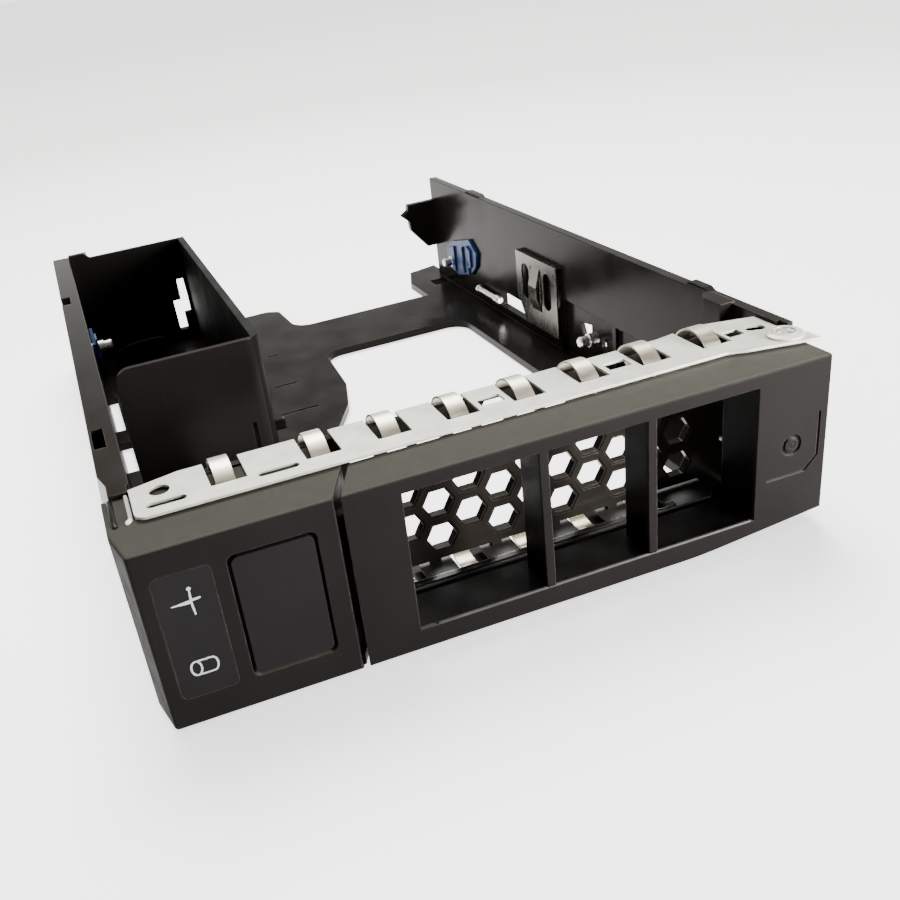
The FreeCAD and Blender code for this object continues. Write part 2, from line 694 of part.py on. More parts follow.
def latch_handle():
    body = new_body("latch_handle")
    handle_left = slit_front + s.slit
    outline = polygon(flat(body, "handle_outline", 0), [
        (handle_left, front),
        (handle_right, front),
        (handle_right, handle_rear),
        (handle_left + s.slit_slant, handle_rear),
    ])
    base = pad(body, outline, front_top)
    foot = round_edges(body, "handle_foot", base, 0, [(front, 0)], s.foot_round)
    round_edges(body, "handle_brow", foot, 0, [(front, front_top)], s.edge_round)
    # Knuckle round the hinge pin.
    knuckle = circle(flat(body, "knuckle", s.floor_sheet + s.running_gap), pivot_x, pivot_y, s.knuckle_radius)
    pad(body, knuckle, front_top - s.floor_sheet - s.running_gap)
    # Three windows with two bars between them; the bars stop short of the rear face.
    low = s.window_bottom
    high = front_top - s.window_top
    start = handle_left + s.window_left
    end = handle_right - s.window_right
    first_bar = start + s.first_window
    second_bar = first_bar + s.bar_width + s.second_window
    windows = upright(body, "handle_windows", front)
    for a, b in ((start, first_bar), (first_bar + s.bar_width, second_bar), (second_bar + s.bar_width, end)):
        rectangle(windows, a, low, b, high)
    pocket(body, windows, s.handle_depth + 1)
    set_back = upright(body, "bar_set_back", handle_rear)
    rectangle(set_back, start, low, end, high)
    pocket(body, set_back, s.bar_set_back, reverse=True)
    # Hollow ends, open to the rear.
    hollows = upright(body, "handle_hollows", handle_rear)
    rectangle(hollows, handle_left + s.slit_slant + 1.6, low, start - 1.6, high)
    rectangle(hollows, end + 1.6, low, pivot_x - s.knuckle_radius - 1.4, high)
    pocket(body, hollows, s.handle_depth - s.skin, reverse=True)
    # Room below for the tray's hinge lug, and between the knuckles for the coil spring.
    relief = circle(flat(body, "lug_relief", s.floor_sheet + s.running_gap), pivot_x, pivot_y,
                    s.head_radius + 0.5)
    pocket(body, relief, s.floor_sheet + s.running_gap + 1)
    coil_room = circle(flat(body, "coil_room", s.coil_bottom + s.coil_room), pivot_x, pivot_y,
                       s.knuckle_radius + 0.3)
    pocket(body, coil_room, s.coil_room)
    bore = circle(flat(body, "knuckle_bore", front_top), pivot_x, pivot_y, s.pivot_radius + s.pivot_clearance)
    pocket(body, bore, front_top + 1)
    # The lower edge rises towards the hinge end.
    toe = polygon(upright(body, "toe_cut", front - 1), [
        (handle_right - s.toe_cut_length, 0),
        (handle_right - s.toe_cut_length, -1),
        (handle_right + 4, -1),
        (handle_right + 4, s.toe_cut_rise * ((s.toe_cut_length + 4) / s.toe_cut_length)),
    ])
    pocket(body, toe, s.handle_depth + 1)
    # A ring and an angled line are pressed into the hinge end as a plain ornament.
    ring = upright(body, "ring_groove", front)
    ring_x = handle_right - 6.2
    circle(ring, ring_x, 15.3, s.mark_radius)
    circle(ring, ring_x, 15.3, s.mark_radius - s.mark_groove)
    pocket(body, ring, s.mark_depth)
    line = polygon(upright(body, "angled_groove", front), [
        (handle_right - 10.4, 9.95), (handle_right - 3.5, 9.95), (handle_right - 1.2, 12.2),
        (handle_right - 1.2, 19.8), (handle_right - 1.6, 19.8), (handle_right - 1.6, 12.4),
        (handle_right - 3.7, 10.35), (handle_right - 10.4, 10.35),
    ])
    pocket(body, line, s.mark_depth)
    # Tongue with the catch hole behind the free end, and a rib that the return spring bears on.
    tongue = flat(body, "catch_tongue", middle_height() - s.catch_height / 2 - 2)
    tongue_left = slit_rear + s.slit
    rectangle(tongue, tongue_left, handle_rear - 0.5, tongue_left + 1.3, handle_rear + 6.6)
    pad(body, tongue, s.catch_height + 4)
    catch_hole = sideways(body, "catch_hole", tongue_left)
    rectangle(catch_hole, handle_rear + 2.8, middle_height() - s.catch_height / 2 - 0.5,
              handle_rear + 5.2, middle_height() + s.catch_height / 2 + 0.5)
    pocket(body, catch_hole, 1.5, reverse=True)
    rib = flat(body, "spring_rib", s.coil_bottom + 0.8)
    rectangle(rib, pivot_x - 9.5, handle_rear - s.handle_depth + s.skin, pivot_x - 8, pivot_y + 1.3)
    pad(body, rib, 3)
    return body


def middle_height():
    return s.button_bottom + s.button_height / 2


def release_button():
    body = new_body("release_button")
    low_x = left + s.button_left + s.button_gap
    high_x = left + s.button_left + s.button_width - s.button_gap
    low = s.button_bottom + s.button_gap
    high = s.button_bottom + s.button_height - s.button_gap
    seat = front + s.skin + s.fit_gap
    cap = rectangle(upright(body, "button_cap", front), low_x, low, high_x, high)
    cap_pad = pad(body, cap, s.button_cap, reverse=True)
    rounded = round_edges(body, "button_corners", cap_pad, 1,
                          [(low_x, low), (low_x, high), (high_x, low), (high_x, high)], 1.0)
    flange = upright(body, "button_flange", seat)
    spread = s.button_gap + s.button_flange
    rectangle(flange, low_x - spread, low - spread, high_x + spread - 0.5, high + spread)
    pad(body, flange, s.button_cap - s.skin - s.fit_gap, reverse=True)
    arm = flat(body, "button_arm", middle_height() - 1.5)
    arm_right = high_x
    arm_left = arm_right - s.arm_width
    polygon(arm, [(arm_left, seat), (arm_right, seat), (arm_right, front + 10.4),
                  (arm_left, front + 10.4 - s.arm_width)])
    pad(body, arm, 3)
    post = upright(body, "spring_post", front + s.button_cap)
    circle(post, (low_x + high_x) / 2, middle_height(), 1.4)
    pad(body, post, s.button_travel + 0.5, reverse=True)
    return body


def catch_spring():
    """Bent strip: a ramp that the button's arm pushes, a nose that holds the handle, and a foot."""
    body = new_body("catch_spring")
    ramp_x = left + s.button_left + s.button_width - s.button_gap - s.arm_width
    ramp_y = front + 10.4 - s.arm_width
    gap = s.fit_gap + 0.3
    end = slit_rear - s.shell_wall - 1.2 - ramp_x
    wide = s.catch_sheet * math.sqrt(2)
    plan = flat(body, "catch_plan", middle_height() - s.catch_height / 2)
    nose_front = handle_rear + 3.2
    nose_rear = handle_rear + 4.6
    polygon(plan, [
        (ramp_x, ramp_y + gap),
        (ramp_x + end, ramp_y + gap + end),
        (ramp_x + end, ramp_y + gap + end + wide),
        (ramp_x, ramp_y + gap + wide),
    ])
    pad(body, plan, s.catch_height)
    nose = flat(body, "catch_nose", middle_height() - s.catch_height / 2)
    nose_start = ramp_x + (nose_front - ramp_y) - gap - 0.8
    rectangle(nose, nose_start, nose_front, slit_rear + s.slit + 1.1, nose_rear)
    pad(body, nose, s.catch_height)
    foot = flat(body, "catch_foot", s.shell_wall)
    foot_left = ramp_x + end - s.catch_sheet
    rectangle(foot, foot_left, ramp_y + gap + end - 0.6, ramp_x + end, ramp_y + gap + end + wide)
    pad(body, foot, middle_height() - s.shell_wall)
    return body


def indicator_panel():
    body = new_body("indicator_panel")
    low_x = left + s.panel_left + s.fit_gap
    high_x = left + s.panel_left + s.panel_width - s.fit_gap
    low = s.panel_bottom + s.fit_gap
    high = s.panel_bottom + s.panel_height - s.fit_gap
    plate = rectangle(upright(body, "panel_outline", front), low_x, low, high_x, high)
    base = pad(body, plate, s.panel_sheet, reverse=True)
    round_edges(body, "panel_corners", base, 1,
                [(low_x, low), (low_x, high), (high_x, low), (high_x, high)], 0.8)
    return body


def light_pipe(label, height):
    body = new_body(label)
    outer = pipe_path()
    inner = [(x + s.pipe_width, y) for x, y in outer]
    plan = polygon(flat(body, label + "_plan", height), [*outer, *reversed(inner)])
    pad(body, plan, s.pipe_height)
    return body


# ------------------------------------------------- shields and spring fingers
def top_shield():
    body = new_body("top_shield")
    start = strip_left
    near = handle_rear
    far = near + s.strip_depth
    plate = polygon(flat(body, "shield_outline", shield_under), [
        (start, near - s.strip_overhang),
        (pivot_x - 10.6, near - s.strip_overhang),
        (pivot_x - 7.8, near - 1.3),
        (right - 0.1, near - 3.8),
        (right - 0.1, pivot_y - 1),
        (bay_right - 0.1, pivot_y + 0.5),
        (bay_right - 0.1, far - 1.3),
        (pivot_x - 7, far + 0.9),
        (pivot_x - 9.5, far + 1.1),
        (pivot_x - 16, far),
        (start + 7.4, far),
        (start, far - 1.8),
    ])
    sheet = pad(body, plate, s.shield_sheet)
    round_edges(body, "shield_corner", sheet, 2, [(start, near - s.strip_overhang)], 1.7)
    fold = upright(body, "shield_fold", front + s.bezel_depth - s.fit_gap)
    rectangle(fold, start, s.rail_height - 5.2, start + s.shield_sheet, s.rail_height - 0.1)
    pad(body, fold, s.bezel_depth - 9.6)
    notches = flat(body, "finger_notches", s.rail_height)
    for place in finger_places:
        rectangle(notches, place - s.finger_notch / 2, near + 3.2, place + s.finger_notch / 2, far + 3)
    pocket(body, notches, s.shield_sheet + 0.1)
    holes = flat(body, "shield_holes", s.rail_height)
    slot(holes, (left + 7, near + 2.5), (left + 11.2, near + 2.5), 0.7)
    slot(holes, (left + 22.6, near + 2.6), (left + 27.2, near + 2.6), 0.7)
    circle(holes, left + 8.6, near + 6.4, 1.5)
    slot(holes, (pivot_x - 2.2, near + 5.6), (pivot_x - 1, near + 5.2), 1.0)
    for index in (3, 5):
        middle = (finger_places[index] + finger_places[index + 1]) / 2
        rectangle(holes, middle - 1.9, near + 4.6, middle + 1.9, near + 7.2)
    last = finger_places[7] + s.finger_notch / 2
    rectangle(holes, last + 0.5, near + 4.4, last + 3.3, near + 6.7)
    circle(holes, pivot_x, pivot_y, s.pivot_radius)
    pocket(body, holes, s.shield_sheet + 0.1)
    return body


def top_fingers():
    """A sprung strip under the shield, whose arched fingers stand up through the notches."""
    body = new_body("top_fingers")
    near = handle_rear + 0.9
    strip = flat(body, "finger_strip", shield_under - s.finger_sheet)
    rectangle(strip, finger_places[0] - 4, near - 0.5, finger_places[7] + 3, near + 2.6)
    pad(body, strip, s.finger_sheet)
    crest = s.rail_height + s.finger_rise
    centre = (near + s.finger_radius + 1.4, crest - s.finger_radius)
    for index, place in enumerate(finger_places):
        shape = sideways(body, f"finger_{index + 1}", place - s.finger_shift - s.finger_width / 2)
        arch(shape, centre, s.finger_radius, s.finger_sheet, shield_under - s.finger_sheet,
             shield_under - 1.4, upward=True)
        pad(body, shape, s.finger_width)
    return body


def bottom_shield():
    body = new_body("bottom_shield")
    near = front + 12
    far = near + 9
    plate = flat(body, "lower_outline", s.floor_sheet)
    start = finger_places[2] - 4.6
    end = flange_edge - 0.3
    polygon(plate, [(start, near), (end - 1.5, near), (end, near + 1.5), (end, far), (start, far)])
    pad(body, plate, s.shield_sheet)
    notches = flat(body, "lower_notches", s.floor_sheet + s.shield_sheet)
    for place in finger_places[2:7]:
        rectangle(notches, place - s.finger_notch / 2, near + 1.1, place + s.finger_notch / 2, far + 1)
    pocket(body, notches, s.shield_sheet + 0.1)
    return body


def bottom_fingers():
    """The lower sprung strip, whose fingers arch down through the notches."""
    body = new_body("bottom_fingers")
    near = front + 12.3
    top = s.floor_sheet + s.shield_sheet + s.finger_sheet
    strip = flat(body, "lower_strip", top - s.finger_sheet)
    rectangle(strip, finger_places[2] - 4, near, finger_places[6] + 4, near + 1.2)
    pad(body, strip, s.finger_sheet)
    lowest = 0.25
    centre = (near + s.finger_radius - 0.2, lowest + s.finger_radius)
    for index, place in enumerate(finger_places[2:7]):
        shape = sideways(body, f"lower_finger_{index + 1}", place - s.finger_width / 2)
        arch(shape, centre, s.finger_radius, s.finger_sheet, top, s.floor_sheet + 0.2, upward=False)
        pad(body, shape, s.finger_width)
    return body


# -------------------------------------------------------------- hinge and pins
def pivot_pin():
    body = new_body("pivot_pin")
    bind(body, "Placement.Base.x", pivot_x)
    bind(body, "Placement.Base.y", pivot_y)
    profile = upright(body, "pin_profile", 0)
    head = s.rail_height + s.head_rise
    polygon(profile, [
        (0, 0.1),
        (s.pivot_radius, 0.1),
        (s.pivot_radius, s.rail_height),
        (s.head_radius, s.rail_height),
        (s.head_radius, s.rail_height + s.head_rise * 0.5),
        (s.head_radius - 0.5, head),
        (s.pivot_radius + 0.5, head),
        (s.pivot_radius, head - 0.35),
        (0, head - 0.35),
    ])
    turned = body.newObject("PartDesign::Revolution", "pin_turned")
    turned.Profile = profile
    turned.ReferenceAxis = (profile, ["V_Axis"])
    turned.Angle = 360
    return body


def drive_pin(label, start, shank, reach, along):
    """A turned pin that lies across the caddy: a shank, then a chamfered tip for the drive's side hole."""
    body = new_body(label)
    bind(body, "Placement.Base.x", start)
    bind(body, "Placement.Base.y", along)
    bind(body, "Placement.Base.z", s.pin_height)
    inward = 1 if number(reach) > 0 else -1
    end = shank + reach
    profile = polygon(upright(body, label + "_profile", 0), [
        (0, 0), (end, 0), (end, s.pin_radius - 0.3), (end - 0.3 * inward, s.pin_radius),
        (shank, s.pin_radius), (shank, s.shank_radius), (0, s.shank_radius)])
    turned = body.newObject("PartDesign::Revolution", label + "_turned")
    turned.Profile = profile
    turned.ReferenceAxis = (profile, ["H_Axis"])
    turned.Angle = 360
    return body


def pin_clip(label, wall, inward, length, drop):
    """A blue keeper that snaps over the drive pin: a rounded plate with a raised pad and a slit."""
    body = new_body(label)
    base = drive_rear - s.rear_pin_inset
    outline = sideways(body, label + "_plate", wall)
    near = base - length
    far = base + 2.6
    low = 6.4 - drop
    polygon(outline, [(near + 4.5, low + 1.8), (far - 7, low - 0.4), (far, low + 1),
                      (far, low + 6.6), (far - 3, low + 8.4), (near + 4.6, low + 11.4),
                      (near, low + 8.4), (near + 1.2, low + 4.4)])
    pad(body, outline, s.clip_sheet * 0.6, reverse=inward < 0)
    raised = sideways(body, label + "_pads", wall)
    polygon(raised, [(near + 3.4, low + 4), (near + 5.4, low + 3.4),
                     (near + 5.4, low + 9.6), (near + 3.4, low + 8.6)])
    polygon(raised, [(base - 3, low + 0.4), (base + 2, low + 1.2),
                     (base + 2, low + 6.2), (base - 3, low + 7.6)])
    pad(body, raised, s.clip_sheet, reverse=inward < 0)
    bore = sideways(body, label + "_bore", wall)
    circle(bore, base, s.pin_height, s.shank_radius + 0.05)
    pocket(body, bore, s.clip_sheet + 1, reverse=inward > 0)
    return body


def grounding_clip():
    """Sheet-metal spring contact on the right flange: foot, upright, top hook and a sprung tongue."""
    body = new_body("grounding_clip")
    start = front + s.ground_front
    end = start + s.ground_length
    face = bay_right - s.ground_stand
    wall = bay_right
    low = s.ground_bottom
    high = s.ground_top
    profile = upright(body, "clip_profile", end)
    polygon(profile, [
        (face, low),
        (wall, low),
        (wall, low + s.ground_sheet),
        (face + s.ground_sheet, low + s.ground_sheet),
        (face + s.ground_sheet, high - s.ground_sheet),
        (wall, high - s.ground_sheet),
        (wall, high),
        (face, high),
    ])
    pad(body, profile, s.ground_length)
    middle = (start + end) / 2
    corner = sideways(body, "clip_corner", face)
    polygon(corner, [(end + 1, low - 1), (end + 1, low + 6.3), (end, low + 6.3), (end - 4.6, low - 1)])
    pocket(body, corner, s.ground_stand, reverse=True)
    holes = sideways(body, "clip_holes", face)
    for offset in (-5.4, 5.4):
        slot(holes, (middle + offset, 12.6), (middle + offset, 17.6), 1.9)
    rectangle(holes, middle - 2.6, 9.4, middle - 1.9, 19.6)
    rectangle(holes, middle + 1.9, 9.4, middle + 2.6, 19.6)
    pocket(body, holes, s.ground_sheet + 0.1, reverse=True)
    # The tongue between the ovals stands out towards the drive.
    tongue = upright(body, "clip_tongue", middle + 1.9)
    inside = face + s.ground_sheet
    polygon(tongue, [(inside, 9.4), (face, 9.4), (face - 1.1, 12.6), (face - 1.1, 15.4), (face, 19.6),
                     (inside, 19.6), (face - 0.7, 15.2), (face - 0.7, 12.8)])
    pad(body, tongue, 3.8)
    return body


# ------------------------------------------------------------------ filler box
def adapter_box():
    body = new_body("adapter_box")
    inside = box_right - s.box_side_wall
    walls = polygon(flat(body, "box_walls", s.floor_sheet), [
        (bay_left + s.box_left_gap, box_front),
        (box_right, box_front),
        (box_right, box_rear),
        (bay_left, box_rear),
        (bay_left, box_rear - s.box_end_wall),
        (inside, box_rear - s.box_end_wall),
        (inside, box_front + s.box_end_wall),
        (bay_left + s.box_left_gap, box_front + s.box_end_wall),
    ])
    height = s.rail_height - s.floor_sheet
    base = pad(body, walls, height)
    corner = round_edges(body, "box_corner_round", base, 2, [(box_right, box_front)], s.box_corner)
    shoulder = round_edges(body, "front_wall_shoulder", corner, 1,
                           [(bay_left + s.box_left_gap, s.rail_height)], 3.0)
    ear = upright(body, "box_ear", box_rear)
    polygon(ear, [(bay_left, s.rail_height - 0.5), (bay_left + 5.3, s.rail_height - 0.5),
                  (bay_left + 5.3, s.rail_height), (bay_left + 3.9, s.rail_height + 1.5),
                  (bay_left, s.rail_height + 1.5)])
    pad(body, ear, s.box_end_wall)
    post = flat(body, "box_rear_post", s.floor_sheet)
    rectangle(post, bay_left, box_rear - 0.2, bay_left + 4.6, box_rear + 2.5)
    pad(body, post, height + 1)
    # Stepped slot in the rear wall and a narrow slot beside the rounded corner.
    slots = upright(body, "rear_slot", box_rear)
    polygon(slots, [
        (box_right - 6.4, 5), (box_right - 4.2, 5), (box_right - 4.2, 9.4), (box_right - 2.4, 9.4),
        (box_right - 2.4, 13.2), (box_right - 2.6, 18.8), (box_right - 4.5, 18.8),
        (box_right - 4.5, 13.2), (box_right - 6.6, 13.2),
    ])
    pocket(body, slots, s.box_end_wall + 0.2, reverse=True)
    slot_rib = upright(body, "slot_rib", box_rear - s.box_end_wall + 0.1)
    rectangle(slot_rib, box_right - 6.2, s.floor_sheet, box_right - 4.4, 4.9)
    pad(body, slot_rib, 0.8)
    corner_slot = upright(body, "corner_slot", box_front)
    rectangle(corner_slot, box_right - 4.9, s.floor_sheet + 4, box_right - 4.1, 12.5)
    pocket(body, corner_slot, s.box_end_wall + 0.2)
    # Two studs enter the side holes of the narrow drive.
    studs = sideways(body, "drive_studs", box_right)
    for inset in (s.rear_pin_inset, s.rear_pin_inset + s.pin_spacing):
        circle(studs, drive_rear - inset, s.pin_height, s.pin_radius)
    pad(body, studs, s.pin_reach)
    return body


# -------------------------------------------------------------------- springs
def wire_solid(path, side):
    """A closed solid of small flat facets: a square wire of the given side along a list of places."""
    rings = []
    for index, point in enumerate(path):
        ahead = path[min(index + 1, len(path) - 1)]
        behind = path[max(index - 1, 0)]
        along = (ahead - behind).normalize()
        reference = FreeCAD.Vector(0, 0, 1) if abs(along.z) < 0.8 else FreeCAD.Vector(1, 0, 0)
        across = along.cross(reference).normalize()
        over = across.cross(along).normalize()
        half = side / 2
        rings.append([point + across * (half * a) + over * (half * b)
                      for a, b in ((-1, -1), (1, -1), (1, 1), (-1, 1))])
    faces = []

    def facet(*corners):
        faces.append(Part.Face(Part.makePolygon([*corners, corners[0]])))

    for first, second in zip(rings, rings[1:]):
        for index in range(4):
            following = (index + 1) % 4
            facet(first[index], first[following], second[following])
            facet(first[index], second[following], second[index])
    facet(rings[0][0], rings[0][1], rings[0][2])
    facet(rings[0][0], rings[0][2], rings[0][3])
    facet(rings[-1][0], rings[-1][1], rings[-1][2])
    facet(rings[-1][0], rings[-1][2], rings[-1][3])
    solid = Part.Solid(Part.makeShell(faces))
    if solid.Volume < 0:
        solid.reverse()
    return solid


def coil_points(radius, height, turns, start_angle=0.0, steps=12):
    total = int(turns * steps)
    return [FreeCAD.Vector(radius * math.cos(start_angle + 2 * math.pi * index / steps),
                           radius * math.sin(start_angle + 2 * math.pi * index / steps),
                           height * index / total) for index in range(total + 1)]


def button_spring():
    """Compression spring between the button and the front wall."""
    feature = document.addObject("Part::Feature", "button_spring")
    feature.Label = "button_spring"
    wire = 0.5
    start = number(front + s.button_cap) + wire / 2 + 0.05
    end = number(wall_front) - wire / 2 - 0.05
    points = [FreeCAD.Vector(p.x, p.z + start, p.y) for p in coil_points(1.9, end - start, 7)]
    feature.Shape = wire_solid(points, wire)
    middle = number(left + s.button_left + s.button_width / 2)
    place = FreeCAD.Vector(middle, 0, number(middle_height()))
    feature.Placement = FreeCAD.Placement(place, FreeCAD.Rotation())
    return feature


def handle_spring():
    """Torsion spring round the hinge pin, with one leg to the handle's rib and one to the rail."""
    feature = document.addObject("Part::Feature", "handle_spring")
    feature.Label = "handle_spring"
    wire = 0.6
    radius = number(s.pivot_radius + s.knuckle_radius) / 2
    low = number(s.coil_bottom) + 1.2
    height = number(s.coil_room) - 2.6
    coil = coil_points(radius, height, 5.75, start_angle=math.pi / 2)
    rib_leg = FreeCAD.Vector(-9.6, radius, 0)
    rail_leg = coil[-1] + FreeCAD.Vector(0, number(s.head_radius) + 1.3 - wire, 0)
    points = [rib_leg, *coil, rail_leg]
    feature.Shape = wire_solid(points, wire)
    place = FreeCAD.Vector(number(pivot_x), number(pivot_y), low)
    feature.Placement = FreeCAD.Placement(place, FreeCAD.Rotation())
    return feature


# ----------------------------------------------------------------- the caddy
def build():
    pins_y = drive_rear - s.rear_pin_inset
    pieces = [
        tray_frame(),
        adapter_box(),
        bezel_body(),
        latch_handle(),
        release_button(),
        catch_spring(),
        indicator_panel(),
        light_pipe("lower_light_pipe", s.lower_pipe),
        light_pipe("upper_light_pipe", s.upper_pipe),
        top_shield(),
        top_fingers(),
        bottom_shield(),
        bottom_fingers(),
        pivot_pin(),
        drive_pin("right_rear_pin", bay_right, -s.clip_sheet, -s.pin_reach, pins_y),
        drive_pin("right_front_pin", bay_right + s.rail_recess, -(s.clip_sheet + s.rail_recess),
                  -s.pin_reach, pins_y - s.pin_spacing),
        drive_pin("left_rear_pin", bay_left, s.clip_sheet + 1.4, s.pin_reach, pins_y),
        pin_clip("right_pin_clip", bay_right, -1, s.clip_length, as_size(0)),
        pin_clip("left_pin_clip", bay_left, 1, s.left_clip_length, s.left_clip_drop),
        grounding_clip(),
        button_spring(),
        handle_spring(),
    ]
    document.recompute()
    return pieces


def check_and_write(pieces):
    broken = [item.Label for item in document.Objects
              if "Invalid" in item.State or "Error" in item.State]
    if broken:
        raise RuntimeError("these objects failed: " + ", ".join(broken))
    for piece in pieces:
        if piece.Shape.isNull() or not piece.Shape.isValid() or not piece.Shape.Solids:
            raise RuntimeError(piece.Label + " has no valid solid")
    os.makedirs("parts", exist_ok=True)
    for piece in pieces:
        piece.Shape.exportStep(f"parts/{piece.Label}.step")
        box = piece.Shape.BoundBox
        print(f"{piece.Label:18s} {len(piece.Shape.Solids)} solid {piece.Shape.Volume:9.1f} mm3  "
              f"x {box.XMin:7.2f} {box.XMax:7.2f}  y {box.YMin:7.2f} {box.YMax:7.2f}  "
              f"z {box.ZMin:6.2f} {box.ZMax:6.2f}")


check_and_write(build())
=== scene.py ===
import bpy
import bmesh
import json
import math
from mathutils import Euler, Matrix, Vector

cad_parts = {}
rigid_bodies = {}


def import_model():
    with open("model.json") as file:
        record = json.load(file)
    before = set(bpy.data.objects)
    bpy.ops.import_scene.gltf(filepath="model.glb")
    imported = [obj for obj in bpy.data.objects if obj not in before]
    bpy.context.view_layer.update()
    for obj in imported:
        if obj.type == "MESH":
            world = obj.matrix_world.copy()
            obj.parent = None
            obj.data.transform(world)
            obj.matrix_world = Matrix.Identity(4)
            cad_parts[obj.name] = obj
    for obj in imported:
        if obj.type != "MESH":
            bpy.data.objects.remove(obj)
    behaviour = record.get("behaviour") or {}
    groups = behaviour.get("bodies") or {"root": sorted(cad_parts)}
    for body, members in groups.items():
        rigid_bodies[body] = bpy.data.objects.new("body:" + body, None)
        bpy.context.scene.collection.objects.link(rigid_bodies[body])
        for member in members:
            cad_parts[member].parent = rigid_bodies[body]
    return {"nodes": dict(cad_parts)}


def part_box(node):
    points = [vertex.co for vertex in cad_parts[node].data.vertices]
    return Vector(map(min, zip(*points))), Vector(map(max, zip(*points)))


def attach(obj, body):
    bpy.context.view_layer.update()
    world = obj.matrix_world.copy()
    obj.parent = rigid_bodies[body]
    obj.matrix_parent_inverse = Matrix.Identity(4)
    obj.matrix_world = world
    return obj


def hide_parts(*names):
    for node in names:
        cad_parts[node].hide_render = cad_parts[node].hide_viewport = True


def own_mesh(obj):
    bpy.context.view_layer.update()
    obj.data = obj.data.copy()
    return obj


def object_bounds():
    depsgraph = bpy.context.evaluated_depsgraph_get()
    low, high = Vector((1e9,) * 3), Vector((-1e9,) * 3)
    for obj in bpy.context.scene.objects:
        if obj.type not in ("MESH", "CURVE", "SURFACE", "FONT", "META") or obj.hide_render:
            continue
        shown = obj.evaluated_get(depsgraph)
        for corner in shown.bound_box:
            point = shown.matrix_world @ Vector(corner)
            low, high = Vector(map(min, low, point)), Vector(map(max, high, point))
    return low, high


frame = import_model()
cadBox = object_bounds()
nodes = frame["nodes"]
mm = 0.001
print("frame loaded:", len(nodes), "nodes")


# node helpers: each returns the socket or node that the next one needs
def newMaterial(name):
    material = bpy.data.materials.new(name)
    material.use_nodes = True
    tree = material.node_tree
    return material, tree, tree.nodes["Principled BSDF"]


def node(tree, kind, **values):
    made = tree.nodes.new(kind)
    for name, value in values.items():
        if hasattr(made, name):
            setattr(made, name, value)
        else:
            made.inputs[name.replace("_", " ")].default_value = value
    return made


def shade(value):
    return (value, value, value, 1) if isinstance(value, (int, float)) else (*value, 1)


def ramp(tree, source, stops):
    # stops: (place, grey or colour) pairs, low to high
    made = node(tree, "ShaderNodeValToRGB")
    while len(made.color_ramp.elements) < len(stops):
        made.color_ramp.elements.new(0.5)
    for element, (place, value) in zip(made.color_ramp.elements, stops):
        element.position = place
        element.color = shade(value)
    tree.links.new(source, made.inputs["Fac"])
    return made.outputs["Color"]


def spread(tree, source, low, high, stops=(0.3, 0.7)):
    # from one value to the other over the middle of a noise
    return ramp(tree, source, [(stops[0], low), (stops[1], high)])


def objectPoint(tree, stretch=(1, 1, 1)):
    point = node(tree, "ShaderNodeTexCoord").outputs["Object"]
    mapped = node(tree, "ShaderNodeMapping", Scale=stretch)
    tree.links.new(point, mapped.inputs["Vector"])
    return mapped.outputs["Vector"]


def noise(tree, point, scale, detail=3.0, roughness=0.55):
    made = node(tree, "ShaderNodeTexNoise", Scale=scale, Detail=detail, Roughness=roughness)
    tree.links.new(point, made.inputs["Vector"])
    return made.outputs["Fac"]


def mixed(tree, amount, low, high):
    made = node(tree, "ShaderNodeMix", data_type="RGBA")
    tree.links.new(amount, made.inputs[0])
    for socket, value in ((made.inputs[6], low), (made.inputs[7], high)):
        if isinstance(value, bpy.types.NodeSocket):
            tree.links.new(value, socket)
        else:
            socket.default_value = shade(value)
    return made.outputs[2]


# paler edges, partly wear and partly a painted highlight: the bend that counts as an edge, and how the paler
# edge breaks up
edgeLook = {"samples": 4, "bend": [(0.75, 1), (0.98, 0)], "breakup": [(0.4, 0.25), (0.65, 1)]}


def roundedNormal(tree, radius):
    return node(tree, "ShaderNodeBevel", samples=edgeLook["samples"], Radius=radius).outputs["Normal"]


def edgeAmount(tree, normal, point, look):
    # 1 on sharp edges, 0 on flat faces, broken up by noise
    dot = node(tree, "ShaderNodeVectorMath", operation="DOT_PRODUCT")
    tree.links.new(normal, dot.inputs[0])
    tree.links.new(node(tree, "ShaderNodeNewGeometry").outputs["Normal"], dot.inputs[1])
    edge = ramp(tree, dot.outputs["Value"], edgeLook["bend"])
    edgeBreakup = ramp(tree, noise(tree, point, look["edgeWearAndHighlightScale"], detail=4), edgeLook["breakup"])
    return mixed(tree, edge, 0, edgeBreakup)


def bump(tree, shader, height, distance, strength, normal):
    made = node(tree, "ShaderNodeBump", Distance=distance, Strength=strength)
    tree.links.new(height, made.inputs["Height"])
    tree.links.new(normal, made.inputs["Normal"])
    tree.links.new(made.outputs["Normal"], shader.inputs["Normal"])


def tinted(colour, factor):
    return tuple(channel * factor for channel in colour)


def tints(colour, factors):
    return [tinted(colour, factor) for factor in factors]


def insideBox(tree, low, high):
    # 1 where the surface lies between two corners, 0 elsewhere
    split = node(tree, "ShaderNodeSeparateXYZ")
    tree.links.new(node(tree, "ShaderNodeTexCoord").outputs["Object"], split.inputs[0])
    product = None
    for axis in range(3):
        for limit, operation in ((low[axis], "GREATER_THAN"), (high[axis], "LESS_THAN")):
            test = node(tree, "ShaderNodeMath", operation=operation)
            tree.links.new(split.outputs[axis], test.inputs[0])
            test.inputs[1].default_value = limit
            if product:
                both = node(tree, "ShaderNodeMath", operation="MULTIPLY")
                tree.links.new(product, both.inputs[0])
                tree.links.new(test.outputs[0], both.inputs[1])
                product = both.outputs[0]
            else:
                product = test.outputs[0]
    return product


plasticIor = 1.5


